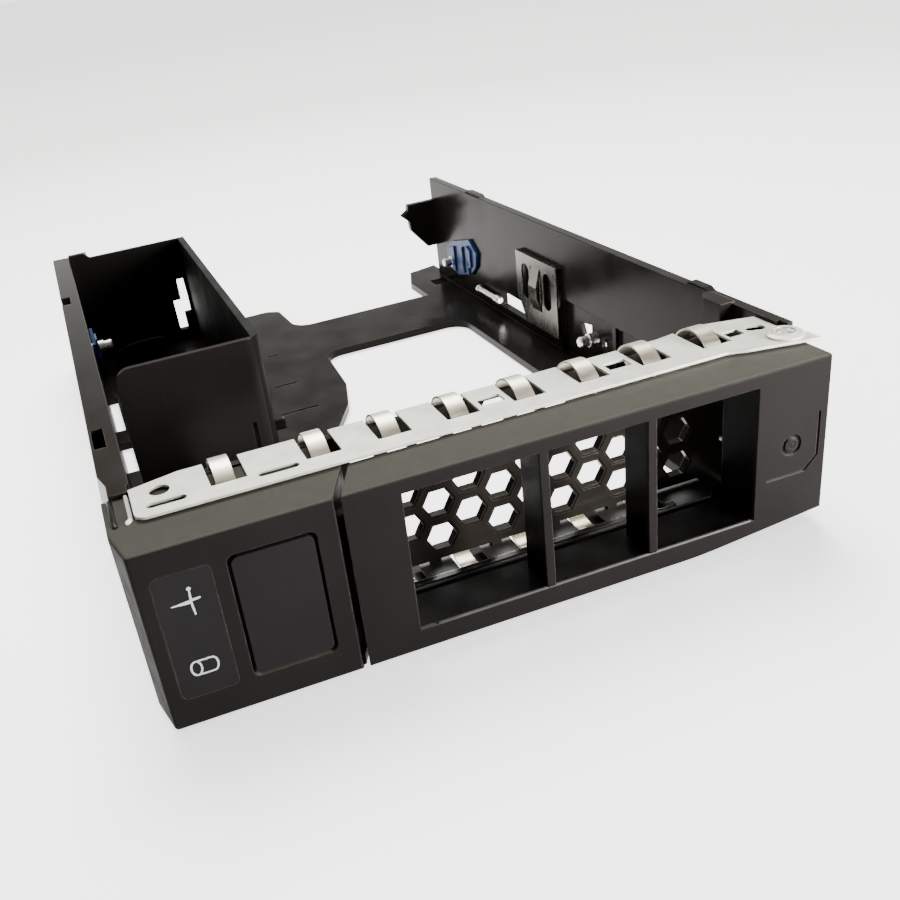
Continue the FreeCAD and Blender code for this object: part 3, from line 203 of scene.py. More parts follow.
def mouldedPlastic(name, look):
    material, tree, shader = newMaterial(name)
    point = objectPoint(tree)
    colour = look["colour"]
    cloud = spread(tree, noise(tree, point, look["cloudScale"], detail=4), *tints(colour, look["tint"]))
    normal = roundedNormal(tree, look["edgeRound"])
    edge = edgeAmount(tree, normal, point, look)
    # edges painted paler: partly wear, partly a painted highlight
    surface = mixed(tree, edge, cloud, tinted(colour, look["edgeWearAndHighlight"]))
    if "paintedTopLight" in look:
        # faces that look up are painted paler: a painted highlight from the light above
        split = node(tree, "ShaderNodeSeparateXYZ")
        tree.links.new(normal, split.inputs[0])
        upward = ramp(tree, split.outputs["Z"], look["paintedTopLightStops"])
        surface = mixed(tree, upward, surface, look["paintedTopLight"])
    smudge = noise(tree, point, look["roughScale"], detail=5)
    rough = spread(tree, smudge, *look["roughness"])
    if "smooth" in look:
        # faces inside these boxes are painted a deeper black: painted shade in the recesses
        inner = look["smooth"]
        inside = insideBox(tree, *inner["boxes"][0])
        for corners in inner["boxes"][1:]:
            inside = mixed(tree, inside, insideBox(tree, *corners), 1)
        surface = mixed(tree, inside, surface, spread(tree, smudge, *tints(colour, inner["tint"])))
        rough = mixed(tree, inside, rough, spread(tree, smudge, *inner["roughness"]))
    tree.links.new(surface, shader.inputs["Base Color"])
    tree.links.new(rough, shader.inputs["Roughness"])
    grain = noise(tree, point, look["grainScale"], detail=2, roughness=0.7)
    bump(tree, shader, grain, look["grainDepth"], look["grainStrength"], normal)
    shader.inputs["Specular IOR Level"].default_value = look["specular"]
    shader.inputs["Specular Tint"].default_value = shade(look["gleam"])
    shader.inputs["IOR"].default_value = plasticIor
    return material


# inside of the handle's windows, and of the slit between handle and bezel: painted shade, a deeper black in
# these recesses
shadedWindowFaces = {
    "boxes": (((-0.016, -0.0843, 0.0035), (0.0425, -0.07, 0.0267)),
              ((-0.0262, -0.0846, 0.0004), (-0.0195, -0.0765, 0.0284))),
    "tint": (0.1, 0.25), "roughness": (0.3, 0.42),
}

# inside of the filler box: painted shade, a deeper black in this recess
shadedBoxInside = {
    "boxes": (((-0.0486, -0.0182, 0.002), (-0.0178, 0.0757, 0.0296)),),
    "tint": (0.1, 0.25), "roughness": (0.55, 0.7),
}

plasticLooks = {
    "front": {
        "colour": (0.0034, 0.0031, 0.003), "cloudScale": 90, "tint": (0.9, 1.1),
        "edgeWearAndHighlight": 7.5, "edgeWearAndHighlightScale": 700, "edgeRound": 0.0003,
        "roughScale": 420, "roughness": (0.5, 0.62),
        "grainScale": 3000, "grainDepth": 0.00005, "grainStrength": 0.6,
        "specular": 0.028, "gleam": (1.0, 0.96, 0.92),
        # faces that look up are painted paler: a painted highlight from above
        "paintedTopLight": (0.025, 0.0245, 0.0205), "paintedTopLightStops": [(0.5, 0), (0.95, 1)],
        "smooth": shadedWindowFaces,
    },
    # paler plastic for the window sill edge: a painted highlight
    "paintedHighlight": {
        "colour": (0.016, 0.0155, 0.015), "cloudScale": 300, "tint": (0.7, 1.2),
        "edgeWearAndHighlight": 1.2, "edgeWearAndHighlightScale": 700, "edgeRound": 0.0001,
        "roughScale": 420, "roughness": (0.4, 0.5),
        "grainScale": 3800, "grainDepth": 0.00002, "grainStrength": 0.2,
        "specular": 0.12, "gleam": (1.0, 0.98, 0.96),
    },
    "button": {
        "colour": (0.0046, 0.004, 0.0043), "cloudScale": 90, "tint": (0.9, 1.1),
        "edgeWearAndHighlight": 2.0, "edgeWearAndHighlightScale": 700, "edgeRound": 0.00025,
        "roughScale": 420, "roughness": (0.36, 0.46),
        "grainScale": 4200, "grainDepth": 0.00002, "grainStrength": 0.3,
        "specular": 0.028, "gleam": (1.0, 0.96, 0.96),
    },
    "panel": {
        "colour": (0.0048, 0.0046, 0.0048), "cloudScale": 90, "tint": (0.9, 1.1),
        "edgeWearAndHighlight": 2.0, "edgeWearAndHighlightScale": 700, "edgeRound": 0.00015,
        "roughScale": 300, "roughness": (0.32, 0.42),
        "grainScale": 3200, "grainDepth": 0.00002, "grainStrength": 0.2,
        "specular": 0.026, "gleam": (1.0, 0.97, 0.96),
    },
    "tray": {
        "colour": (0.0055, 0.0049, 0.0041), "cloudScale": 60, "tint": (0.8, 1.3),
        "edgeWearAndHighlight": 4.5, "edgeWearAndHighlightScale": 500, "edgeRound": 0.0003,
        "roughScale": 130, "roughness": (0.15, 0.26),
        "grainScale": 1700, "grainDepth": 0.00003, "grainStrength": 0.18,
        "specular": 0.05, "gleam": (1.0, 0.94, 0.84),
    },
    "box": {
        "colour": (0.0045, 0.004, 0.0038), "cloudScale": 50, "tint": (0.8, 1.3),
        "edgeWearAndHighlight": 4.0, "edgeWearAndHighlightScale": 500, "edgeRound": 0.00035,
        "roughScale": 110, "roughness": (0.18, 0.28),
        "grainScale": 1100, "grainDepth": 0.00003, "grainStrength": 0.14,
        "specular": 0.05, "gleam": (1.0, 0.95, 0.88),
        "smooth": shadedBoxInside,
    },
    "clip": {
        "colour": (0.0035, 0.022, 0.1), "cloudScale": 220, "tint": (0.85, 1.2),
        "edgeWearAndHighlight": 1.5, "edgeWearAndHighlightScale": 900, "edgeRound": 0.0002,
        "roughScale": 300, "roughness": (0.28, 0.4),
        "grainScale": 1900, "grainDepth": 0.00003, "grainStrength": 0.3,
        "specular": 0.12, "gleam": (1.0, 1.0, 1.0),
    },
}


def metal(name, look):
    material, tree, shader = newMaterial(name)
    point = objectPoint(tree)
    colour = look["colour"]
    patch = spread(tree, noise(tree, point, look["patchScale"], detail=5), *tints(colour, look["tint"]))
    normal = roundedNormal(tree, look["edgeRound"])
    edge = edgeAmount(tree, normal, point, look)
    # edges painted paler: partly wear, partly a painted highlight
    surface = mixed(tree, edge, patch, tinted(colour, look["edgeWearAndHighlight"]))
    if "shaded" in look:
        # this part of the metal is painted dark: painted shade under the handle
        shaded = look["shaded"]
        paintedShade = spread(tree, noise(tree, point, shaded["patchScale"], detail=3), *shaded["grey"])
        surface = mixed(tree, insideBox(tree, *shaded["box"]), surface, paintedShade)
    tree.links.new(surface, shader.inputs["Base Color"])
    brushed = noise(tree, objectPoint(tree, look["brush"]), look["brushScale"], detail=4)
    tree.links.new(spread(tree, brushed, *look["roughness"]), shader.inputs["Roughness"])
    bump(tree, shader, brushed, look["brushDepth"], look["brushStrength"], normal)
    shader.inputs["Metallic"].default_value = look["metallic"]
    return material


metalLooks = {
    "plated": {
        "colour": (0.35, 0.355, 0.305), "tint": (0.8, 1.06), "patchScale": 300,
        "brush": (1, 1, 1), "brushScale": 900, "brushDepth": 0.00002, "brushStrength": 0.25,
        "roughness": (0.34, 0.48), "metallic": 0.5,
        "edgeRound": 0.00012, "edgeWearAndHighlight": 1.5, "edgeWearAndHighlightScale": 900,
    },
    # plated steel painted nearly black: painted shade where it lies low behind the handle
    "shadeDarkened": {
        "colour": (0.015, 0.015, 0.0135), "tint": (0.8, 1.1), "patchScale": 420,
        "brush": (1, 1, 1), "brushScale": 900, "brushDepth": 0.00002, "brushStrength": 0.25,
        "roughness": (0.42, 0.55), "metallic": 0.45,
        "edgeRound": 0.00012, "edgeWearAndHighlight": 3.5, "edgeWearAndHighlightScale": 900,
    },
    "finger": {
        "colour": (0.42, 0.39, 0.32), "tint": (0.94, 1.05), "patchScale": 200,
        "brush": (1, 4, 4), "brushScale": 260, "brushDepth": 0.00001, "brushStrength": 0.04,
        "roughness": (0.3, 0.4), "metallic": 1.0,
        "edgeRound": 0.0001, "edgeWearAndHighlight": 1.15, "edgeWearAndHighlightScale": 900,
    },
    # darker copy of the finger steel: painted shade under the handle
    "lowFinger": {
        "colour": (0.22, 0.2, 0.145), "tint": (0.9, 1.05), "patchScale": 200,
        "brush": (1, 4, 4), "brushScale": 260, "brushDepth": 0.00001, "brushStrength": 0.12,
        "roughness": (0.2, 0.3), "metallic": 1.0,
        "edgeRound": 0.0001, "edgeWearAndHighlight": 1.3, "edgeWearAndHighlightScale": 900,
        "shaded": {"box": ((-0.02, -0.074, 0.0016), (0.04, -0.0716, 0.003)),
                   "grey": (0.012, 0.022), "patchScale": 300},
    },
    "sheet": {
        "colour": (0.1, 0.095, 0.082), "tint": (0.8, 1.15), "patchScale": 160,
        "brush": (1, 3, 1), "brushScale": 300, "brushDepth": 0.00001, "brushStrength": 0.05,
        "roughness": (0.22, 0.34), "metallic": 1.0,
        "edgeRound": 0.00012, "edgeWearAndHighlight": 3.0, "edgeWearAndHighlightScale": 900,
    },
    "turned": {
        "colour": (0.74, 0.73, 0.71), "tint": (0.85, 1.1), "patchScale": 500,
        "brush": (8, 1, 1), "brushScale": 700, "brushDepth": 0.00001, "brushStrength": 0.3,
        "roughness": (0.22, 0.38), "metallic": 1.0,
        "edgeRound": 0.00015, "edgeWearAndHighlight": 1.2, "edgeWearAndHighlightScale": 900,
    },
    "wire": {
        "colour": (0.5, 0.5, 0.5), "tint": (0.85, 1.1), "patchScale": 500,
        "brush": (2, 2, 2), "brushScale": 700, "brushDepth": 0.00001, "brushStrength": 0.3,
        "roughness": (0.3, 0.45), "metallic": 1.0,
        "edgeRound": 0.0001, "edgeWearAndHighlight": 1.1, "edgeWearAndHighlightScale": 900,
    },
}

pipeLook = {"milkScale": 220, "dark": (0.62, 0.65, 0.66), "light": (0.8, 0.82, 0.82),
            "roughScale": 400, "roughness": (0.08, 0.2), "clear": 0.6, "ior": 1.49}


def clearPlastic(name, look):
    material, tree, shader = newMaterial(name)
    point = objectPoint(tree)
    milk = spread(tree, noise(tree, point, look["milkScale"], detail=3), look["dark"], look["light"])
    tree.links.new(milk, shader.inputs["Base Color"])
    rough = spread(tree, noise(tree, point, look["roughScale"], detail=3), *look["roughness"])
    tree.links.new(rough, shader.inputs["Roughness"])
    shader.inputs["Transmission Weight"].default_value = look["clear"]
    shader.inputs["IOR"].default_value = look["ior"]
    return material


inkLook = {"speckScale": 2500, "specks": (0.3, 0.6), "dark": 0.14, "light": 0.22,
           "roughScale": 900, "roughness": (0.45, 0.6)}


def printedInk(name, look):
    material, tree, shader = newMaterial(name)
    point = objectPoint(tree)
    speck = noise(tree, point, look["speckScale"], detail=4)
    tree.links.new(spread(tree, speck, look["dark"], look["light"], look["specks"]), shader.inputs["Base Color"])
    rough = spread(tree, noise(tree, point, look["roughScale"], detail=3), *look["roughness"])
    tree.links.new(rough, shader.inputs["Roughness"])
    return material


finishes = {key: mouldedPlastic(key + "Plastic", look) for key, look in plasticLooks.items()}
finishes.update({key: metal(key + "Steel", look) for key, look in metalLooks.items()})
finishes["pipe"] = clearPlastic("clearPlastic", pipeLook)
finishes["ink"] = printedInk("whiteInk", inkLook)

nodeFinishes = {
    "tray": ["tray_frame"],
    "box": ["adapter_box"],
    "front": ["bezel_body", "latch_handle"],
    "button": ["release_button"],
    "panel": ["indicator_panel"],
    "clip": ["right_pin_clip", "left_pin_clip"],
    "pipe": ["lower_light_pipe", "upper_light_pipe"],
    "plated": ["top_shield", "pivot_pin"],
    "shadeDarkened": ["bottom_shield"],
    "finger": ["top_fingers"],
    "lowFinger": ["bottom_fingers"],
    "turned": ["right_rear_pin", "right_front_pin", "left_rear_pin"],
    "sheet": ["grounding_clip"],
    "wire": ["catch_spring", "button_spring", "handle_spring"],
}

for finish, names in nodeFinishes.items():
    for nodeName in names:
        mesh = nodes[nodeName].data
        mesh.materials.clear()
        mesh.materials.append(finishes[finish])
print("materials set")


# mesh helpers: lengths in millimetres, so that they read like the part's own
def onFront(a, b, depth):
    return (a, depth, b)


def onFloor(a, b, depth):
    return (a, b, depth)


def addRing(work, points):
    return [work.verts.new(Vector(point) * mm) for point in points]


def joinRings(work, rings, sides):
    # faces between round rings; a ring of one point closes an end
    for one, two in zip(rings, rings[1:]):
        for side in range(sides):
            after = (side + 1) % sides
            if len(one) == 1:
                work.faces.new((one[0], two[side], two[after]))
            elif len(two) == 1:
                work.faces.new((one[side], two[0], one[after]))
            else:
                work.faces.new((one[side], two[side], two[after], one[after]))


def roundTurn(sides):
    return [2 * math.pi * side / sides for side in range(sides)]


def rectangle(left, front, right, back):
    return [(left, front), (right, front), (right, back), (left, back)]


def arcPoints(centre, radii, start, end, steps):
    turn = [math.radians(start + (end - start) * step / steps) for step in range(steps + 1)]
    return [(centre[0] + radii[0] * math.cos(angle), centre[1] + radii[1] * math.sin(angle)) for angle in turn]


def prism(work, outline, low, high, place):
    # outline: 2D points; place(a, b, depth) turns them into a point of the part
    rings = [addRing(work, [place(a, b, depth) for a, b in outline]) for depth in (low, high)]
    work.faces.new(rings[0][::-1])
    work.faces.new(rings[1])
    for index in range(len(outline)):
        after = (index + 1) % len(outline)
        work.faces.new((rings[0][index], rings[0][after], rings[1][after], rings[1][index]))


def lineSides(points, width, closed):
    # the two sides of a flat line of one width along 2D points
    left, right = [], []
    count = len(points)
    for index, (x, y) in enumerate(points):
        before = points[index - 1] if index or closed else points[index]
        after = points[(index + 1) % count] if index < count - 1 or closed else points[index]
        along = Vector((after[0] - before[0], after[1] - before[1])).normalized()
        left.append((x - along.y * width / 2, y + along.x * width / 2))
        right.append((x + along.y * width / 2, y - along.x * width / 2))
    return left, right


def raisedLine(work, points, width, low, high, place, closed=False):
    count = len(points)
    rings = [addRing(work, [place(a, b, depth) for a, b in side])
             for side in lineSides(points, width, closed) for depth in (low, high)]
    leftLow, leftHigh, rightLow, rightHigh = rings
    pairs = ((leftLow, leftHigh), (leftHigh, rightHigh), (rightHigh, rightLow), (rightLow, leftLow))
    for index in range(count if closed else count - 1):
        after = (index + 1) % count
        for one, two in pairs:
            work.faces.new((one[index], one[after], two[after], two[index]))
    if not closed:
        for end in (0, count - 1):
            work.faces.new((leftLow[end], leftHigh[end], rightHigh[end], rightLow[end]))


def sweptBar(work, path, radius, sides=14, domeSteps=4):
    # a round bar along 3D points, with domed ends
    points = [Vector(point) for point in path]
    last = len(points) - 1
    aims = [(points[min(i + 1, last)] - points[max(i - 1, 0)]).normalized() for i in range(last + 1)]
    bends = [math.pi / 2 * step / domeSteps for step in range(domeSteps)]
    stations = [(points[0] - aims[0] * radius * math.cos(bend), aims[0], radius * math.sin(bend))
                for bend in bends]
    stations += [(point, aim, radius) for point, aim in zip(points, aims)]
    stations += [(points[-1] + aims[-1] * radius * math.cos(bend), aims[-1], radius * math.sin(bend))
                 for bend in reversed(bends)]
    rings = []
    for centre, aim, size in stations:
        turn = aim.to_track_quat("Z", "Y")
        angles = roundTurn(sides) if size > 1e-6 else [0]
        rings.append(addRing(work, [centre + turn @ Vector((size * math.cos(angle), size * math.sin(angle), 0))
                                    for angle in angles]))
    joinRings(work, rings, sides)


def turnedShape(work, profile, centre, place, sides=36):
    # profile: (radius, depth) pairs, from the axis out and back
    rings = []
    for radius, depth in profile:
        angles = roundTurn(sides) if radius > 1e-6 else [0]
        rings.append(addRing(work, [place(centre[0] + radius * math.cos(angle),
                                          centre[1] + radius * math.sin(angle), depth) for angle in angles]))
    joinRings(work, rings, sides)


def finishPiece(name, work, finish, body, smooth=False):
    bmesh.ops.recalc_face_normals(work, faces=work.faces)
    mesh = bpy.data.meshes.new(name)
    work.to_mesh(mesh)
    work.free()
    for face in mesh.polygons:
        face.use_smooth = smooth
    mesh.materials.append(finishes[finish])
    piece = bpy.data.objects.new(name, mesh)
    bpy.context.scene.collection.objects.link(piece)
    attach(piece, body)
    return piece


# white signs on the indicator panel: an activity line with a dot, and a drum that stands for a drive
markLook = {
    "panelFace": -85.0, "proud": 0.03, "sunk": 0.02, "line": 0.27, "layer": 0.002,
    "strokes": [
        [(-48.95, 19.86), (-46.75, 19.66), (-46.3, 19.7), (-46.25, 20.14), (-46.6, 20.2), (-48.9, 20.0)],
        [(-46.3, 19.9), (-45.0, 20.06), (-44.85, 20.2), (-44.95, 20.36), (-46.3, 20.3)],
        [(-46.36, 20.1), (-46.06, 20.1), (-46.0, 21.9), (-46.24, 21.9)],
        [(-46.38, 19.9), (-46.08, 19.9), (-45.95, 17.85), (-46.18, 17.75)],
    ],
    "dot": (-46.13, 21.92), "dotRadii": (0.3, 0.3),
    "lid": (-47.85, 9.46), "lidRadii": (0.72, 1.12),
    "drumEnd": (-45.55, 9.46), "drumRadii": (0.68, 1.12), "drumStart": -47.7,
}


def activityMark(look):
    work = bmesh.new()
    low, high = look["panelFace"] - look["proud"], look["panelFace"] + look["sunk"]
    dot = arcPoints(look["dot"], look["dotRadii"], 0, 345, 23)
    for step, outline in enumerate(look["strokes"] + [dot]):
        prism(work, outline, low + step * look["layer"], high, onFront)
    return finishPiece("activityMark", work, "ink", "caddy")


def driveMark(look):
    work = bmesh.new()
    low, high = look["panelFace"] - look["proud"], look["panelFace"] + look["sunk"]
    lid = arcPoints(look["lid"], look["lidRadii"], 0, 350, 35)
    raisedLine(work, lid, look["line"], low, high, onFront, True)
    middle, reach = look["drumEnd"][1], look["drumRadii"][1]
    end = arcPoints(look["drumEnd"], look["drumRadii"], -90, 90, 18)
    side = [(look["drumStart"], middle - reach)] + end + [(look["drumStart"], middle + reach)]
    raisedLine(work, side, look["line"], low + look["layer"] * 1.5, high, onFront)
    return finishPiece("driveMark", work, "ink", "caddy")


activityMark(markLook)
driveMark(markLook)

# dark seam round the indicator panel
seamLook = {"low": (-50.75, 4.95), "high": (-42.75, 24.65), "round": 0.85, "line": 0.2,
            "panelFace": -85.0, "proud": 0.015, "sunk": 0.05}


def panelSeam(look):
    work = bmesh.new()
    (left, foot), (right, top), size = look["low"], look["high"], look["round"]
    centres = [(right - size, top - size), (left + size, top - size),
               (left + size, foot + size), (right - size, foot + size)]
    path = []
    for corner, centre in enumerate(centres):
        path += arcPoints(centre, (size, size), 90 * corner, 90 * corner + 90, 6)
    low, high = look["panelFace"] - look["proud"], look["panelFace"] + look["sunk"]
    raisedLine(work, path, look["line"], low, high, onFront, True)
    return finishPiece("panelSeam", work, "tray", "caddy")


panelSeam(seamLook)

# clear end of the light guide beside the plated strip, and the dark rail end next to it
guideLook = {"radius": 0.32, "height": 28.9,
             "path": [(-50.75, -68.6), (-50.75, -74.9), (-50.85, -75.7), (-51.3, -76.2)]}
railEndLook = {"radius": 0.5, "path": [(-53.1, -68.6, 28.55), (-53.1, -74.6, 28.55), (-52.95, -76.2, 28.5)]}


def lightGuideEnd(look):
    work = bmesh.new()
    sweptBar(work, [(x, y, look["height"]) for x, y in look["path"]], look["radius"])
    return finishPiece("lightGuideEnd", work, "pipe", "caddy", smooth=True)


def railEnd(look):
    work = bmesh.new()
    sweptBar(work, look["path"], look["radius"], sides=18)
    return finishPiece("railEnd", work, "tray", "caddy", smooth=True)


lightGuideEnd(guideLook)
railEnd(railEndLook)

# stamped relief on the rivet head
rivetLook = {
    "top": 30.0, "ring": 1.75,
    "ringProfile": [(-0.2, -0.02), (-0.12, 0.1), (0.1, 0.1), (0.2, -0.02)],  # outward and upward
    "bars": 5, "barTurn": 0.4, "barHalf": 0.16, "barReach": (0.55, 1.25), "barSunk": 0.02, "barProud": 0.08,
}


def rivetRelief(look):
    work = bmesh.new()
    low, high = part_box("pivot_pin")[0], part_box("pivot_pin")[1]
    centre = ((low.x + high.x) / 2 / mm, (low.y + high.y) / 2 / mm)
    top = look["top"]
    profile = [(look["ring"] + outward, top + upward) for outward, upward in look["ringProfile"]]
    turnedShape(work, profile, centre, onFloor)
    inner, outer = look["barReach"]
    for bar in range(look["bars"]):
        angle = 2 * math.pi * bar / look["bars"] + look["barTurn"]
        across = Vector((-math.sin(angle), math.cos(angle))) * look["barHalf"]
        near, far = [Vector((math.cos(angle), math.sin(angle))) * reach for reach in (inner, outer)]
        outline = [(centre[0] + spot.x, centre[1] + spot.y)
                   for spot in (near + across, near - across, far - across, far + across)]
        prism(work, outline, top - look["barSunk"], top + look["barProud"], onFloor)
    return finishPiece("rivetRelief", work, "plated", "caddy")


rivetRelief(rivetLook)

# raised turning sign inside the ring on the handle
turnSignLook = {"centre": (46.6, 15.35), "face": -85.0, "proud": 0.06, "sunk": 0.05,
                "dot": 0.3, "dotTop": 0.21, "arc": (0.78, 0.78), "line": 0.24, "starts": (25, 205), "sweep": 120}


def turnSign(look):
    work = bmesh.new()
    low, high = look["face"] - look["proud"], look["face"] + look["sunk"]
    turnedShape(work, [(0, low), (look["dotTop"], low), (look["dot"], high)], look["centre"], onFront, 20)
    for start in look["starts"]:
        arc = arcPoints(look["centre"], look["arc"], start, start + look["sweep"], 12)
        raisedLine(work, arc, look["line"], low, high, onFront)
    return finishPiece("turnSign", work, "front", "handle")


turnSign(turnSignLook)

# upright ribs on the blue keepers
keeperLook = {
    "right": {"wall": 52.75, "inward": -1, "drop": 0, "places": (49.6, 53.2)},
    "left": {"wall": -49.85, "inward": 1, "drop": 2, "places": (56.4,)},
    "sheet": 0.78, "ribWidth": 1.1, "bow": 0.2, "low": 8.2, "middle": 11.0, "high": 14.6,
}


def keeperRibs(side, look):
    work = bmesh.new()
    own = look[side]
    face = own["wall"] + own["inward"] * look["sheet"]
    crown = face + own["inward"] * look["bow"]
    for place in own["places"]:
        path = [(x, place, look[level] - own["drop"])
                for x, level in ((face, "low"), (crown, "middle"), (face, "high"))]
        sweptBar(work, path, look["ribWidth"] / 2, sides=12)
    return finishPiece(side + "KeeperRibs", work, "clip", "caddy", smooth=True)


keeperRibs("right", keeperLook)
keeperRibs("left", keeperLook)

# waisted steel roller at the foot of the right rail
rollerLook = {
    "axis": (51.65, 5.7), "sides": 24,
    "profile": [(0, 30.6), (0.7, 30.6), (1.05, 31.0), (1.05, 33.0), (0.75, 33.2),  # radius and place along
                (0.75, 42.6), (1.05, 42.8), (1.05, 43.6), (0, 43.6)],
}


def railRoller(look):
    work = bmesh.new()
    turnedShape(work, look["profile"], look["axis"], onFront, look["sides"])
    return finishPiece("railRoller", work, "turned", "caddy")


railRoller(rollerLook)

# rims inside the honeycomb holes, which stand out a little behind the wall
rimLook = {"first": -16.1, "pitch": 6.22, "base": 6.9, "hole": 2.956, "rim": 0.42, "depths": (-67.95, -66.5),
           "columns": 11, "rows": (4, 3), "highest": 24.0}


def combRims(look):
    work = bmesh.new()
    size = look["hole"] - look["rim"] / 2
    for column in range(look["columns"]):
        odd = column % 2
        across = look["first"] + look["pitch"] * math.sqrt(3) / 2 * column
        for row in range(look["rows"][odd]):
            up = look["base"] + look["pitch"] * (row + 0.5 * odd)
            if up <= look["highest"]:
                corners = arcPoints((across, up), (size, size), 0, 300, 5)
                raisedLine(work, corners, look["rim"], *look["depths"], onFront, True)
    return finishPiece("combRims", work, "tray", "caddy")


combRims(rimLook)

# dark plate under the lower spring strip, cut out round each finger: painted shade that hides the bright floor
# seen through the gaps
lowerShadeLook = {
    "left": -22.0, "right": 43.0, "front": -75.6, "split": -63.6, "back": -59.6, "low": 0.02, "high": 0.22,
    "fingers": [-12.2 + 10.7 * step for step in range(5)], "cut": 3.2, "cutFront": -69.8,
    "corner": (47.2, -66.4),  # right and rear edge of the tab beside the hinge
    "cover": rectangle(45.4, 0.3, 48.2, 14.0), "coverDepths": (-66.88, -66.6),  # behind the wall's right end
}


def lowerLip(look):
    work = bmesh.new()
    left, right, split, depths = look["left"], look["right"], look["split"], (look["low"], look["high"])
    comb = [(left, look["front"]), (right, look["front"]), (right, split)]
    for place in reversed(look["fingers"]):
        low, high = place - look["cut"] / 2, place + look["cut"] / 2
        comb += [(high, split), (high, look["cutFront"]), (low, look["cutFront"]), (low, split)]
    comb.append((left, split))
    rear = rectangle(left, split, right, look["back"])
    tab = rectangle(right, look["front"], *look["corner"])
    for outline in (comb, rear, tab):
        prism(work, outline, *depths, onFloor)
    prism(work, look["cover"], *look["coverDepths"], onFront)
    return finishPiece("lowerLip", work, "tray", "caddy")


lowerLip(lowerShadeLook)

# fine rounded edge along the foot of the windows, in paler plastic: a painted highlight where the edge catches
# light
sillLook = {"start": -13.1, "end": 39.6, "height": 3.8, "depth": -84.78, "radius": 0.26, "steps": 12}


def sillEdge(look):
    work = bmesh.new()
    length, steps = look["end"] - look["start"], look["steps"]
    path = [(look["start"] + length * step / steps, look["depth"], look["height"]) for step in range(steps + 1)]
    sweptBar(work, path, look["radius"], sides=10)
    return finishPiece("sillEdge", work, "paintedHighlight", "handle", smooth=True)


sillEdge(sillLook)

# round-wire coil behind the button
coilLook = {"centre": (-34.45, 14.95), "start": -81.31, "end": -68.39, "radius": 1.9, "wire": 0.5,
            "turns": 7, "steps": 16, "keep": 0.84}


def buttonCoil(look):
    work = bmesh.new()
    across, up = look["centre"]
    start, end, radius = look["start"], look["end"], look["radius"]
    count = look["turns"] * look["steps"]
    path = []
    for step in range(count + 1):
        angle = 2 * math.pi * step / look["steps"]
        along = start + (end - start) * step / count
        path.append((across + radius * math.cos(angle), along, up + radius * math.sin(angle)))
    sweptBar(work, path, look["wire"] / 2, sides=8)
    piece = finishPiece("buttonCoil", work, "wire", "caddy", smooth=True)
    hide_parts("button_spring")
    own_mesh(piece)
    return piece


buttonCoil(coilLook)

# dark plate inside the long slot of the plated strip: painted shade where the slot looks into shadow
slotShadeLook = {"start": (-32.1, -73.4), "end": (-27.5, -73.4), "radii": (0.62, 0.62), "low": 29.02, "high": 29.1}


def slotBacking(look):
    work = bmesh.new()
    outline = arcPoints(look["end"], look["radii"], -90, 90, 10)
    outline += arcPoints(look["start"], look["radii"], 90, 270, 10)
    prism(work, outline, look["low"], look["high"], onFloor)
    return finishPiece("slotBacking", work, "tray", "caddy")


slotBacking(slotShadeLook)

# faint rings that the ejector pins of the mould leave
ejectorSpots = [(-10, 50), (-12, 20), (12, 46), (32, 46), (-42, -40), (47.5, -5)]
ejectorLook = {
    "radii": (1.9, 1.9), "line": 0.14, "proud": 0.03, "sunk": 0.02,
    "floorTop": {"face": 1.8, "outward": 1, "spots": ejectorSpots},
    "floorUnder": {"face": 0.0, "outward": -1, "spots": ejectorSpots + [(-40, 10), (-40, 55)]},
}


def ejectorMarks(key, look):
    work = bmesh.new()
    own = look[key]
    low, high = own["face"] - own["outward"] * look["sunk"], own["face"] + own["outward"] * look["proud"]
    for spot in own["spots"]:
        circle = arcPoints(spot, look["radii"], 0, 350, 35)
        raisedLine(work, circle, look["line"], low, high, onFloor, True)
    return finishPiece(key + "EjectorMarks", work, "tray", "caddy")


ejectorMarks("floorTop", ejectorLook)
ejectorMarks("floorUnder", ejectorLook)
print("own pieces made")

# pale floor, wide enough to reach past every view, with a soft glow round the part: a painted pool of light, as
# the floor itself glows
stageLook = {
    "rings": (0.5, 2, 8, 40.0), "sides": 48, "drop": 0.0001,
    "grey": (0.9154, 0.92), "cloudScale": 30, "roughness": 0.9, "specular": 0.1,
    "glow": (0.425, 0.0), "glowReach": (0.1, 0.5), "glowStrength": 4, "middle": (0.02, 0.0, 0.0),
}


def buildStage(look):
    work = bmesh.new()
    rings = [[work.verts.new((radius * math.cos(angle), radius * math.sin(angle), 0))
              for angle in roundTurn(look["sides"])] for radius in look["rings"]]
    work.faces.new(rings[0])
    joinRings(work, rings, look["sides"])
    mesh = bpy.data.meshes.new("floor")
    work.to_mesh(mesh)
    work.free()
    material, tree, shader = newMaterial("paleFloor")
    fine = noise(tree, objectPoint(tree), look["cloudScale"], detail=2)
    tree.links.new(spread(tree, fine, *look["grey"]), shader.inputs["Base Color"])
    shader.inputs["Roughness"].default_value = look["roughness"]
    shader.inputs["Specular IOR Level"].default_value = look["specular"]
    away = node(tree, "ShaderNodeVectorMath", operation="DISTANCE")
    tree.links.new(objectPoint(tree), away.inputs[0])
    away.inputs[1].default_value = look["middle"]
    glow = spread(tree, away.outputs["Value"], *look["glow"], look["glowReach"])
    tree.links.new(glow, shader.inputs["Emission Color"])
    shader.inputs["Emission Strength"].default_value = look["glowStrength"]
    mesh.materials.append(material)
    floor = bpy.data.objects.new("floor", mesh)
    bpy.context.scene.collection.objects.link(floor)
    floor.location.z = cadBox[0].z - look["drop"]


buildStage(stageLook)

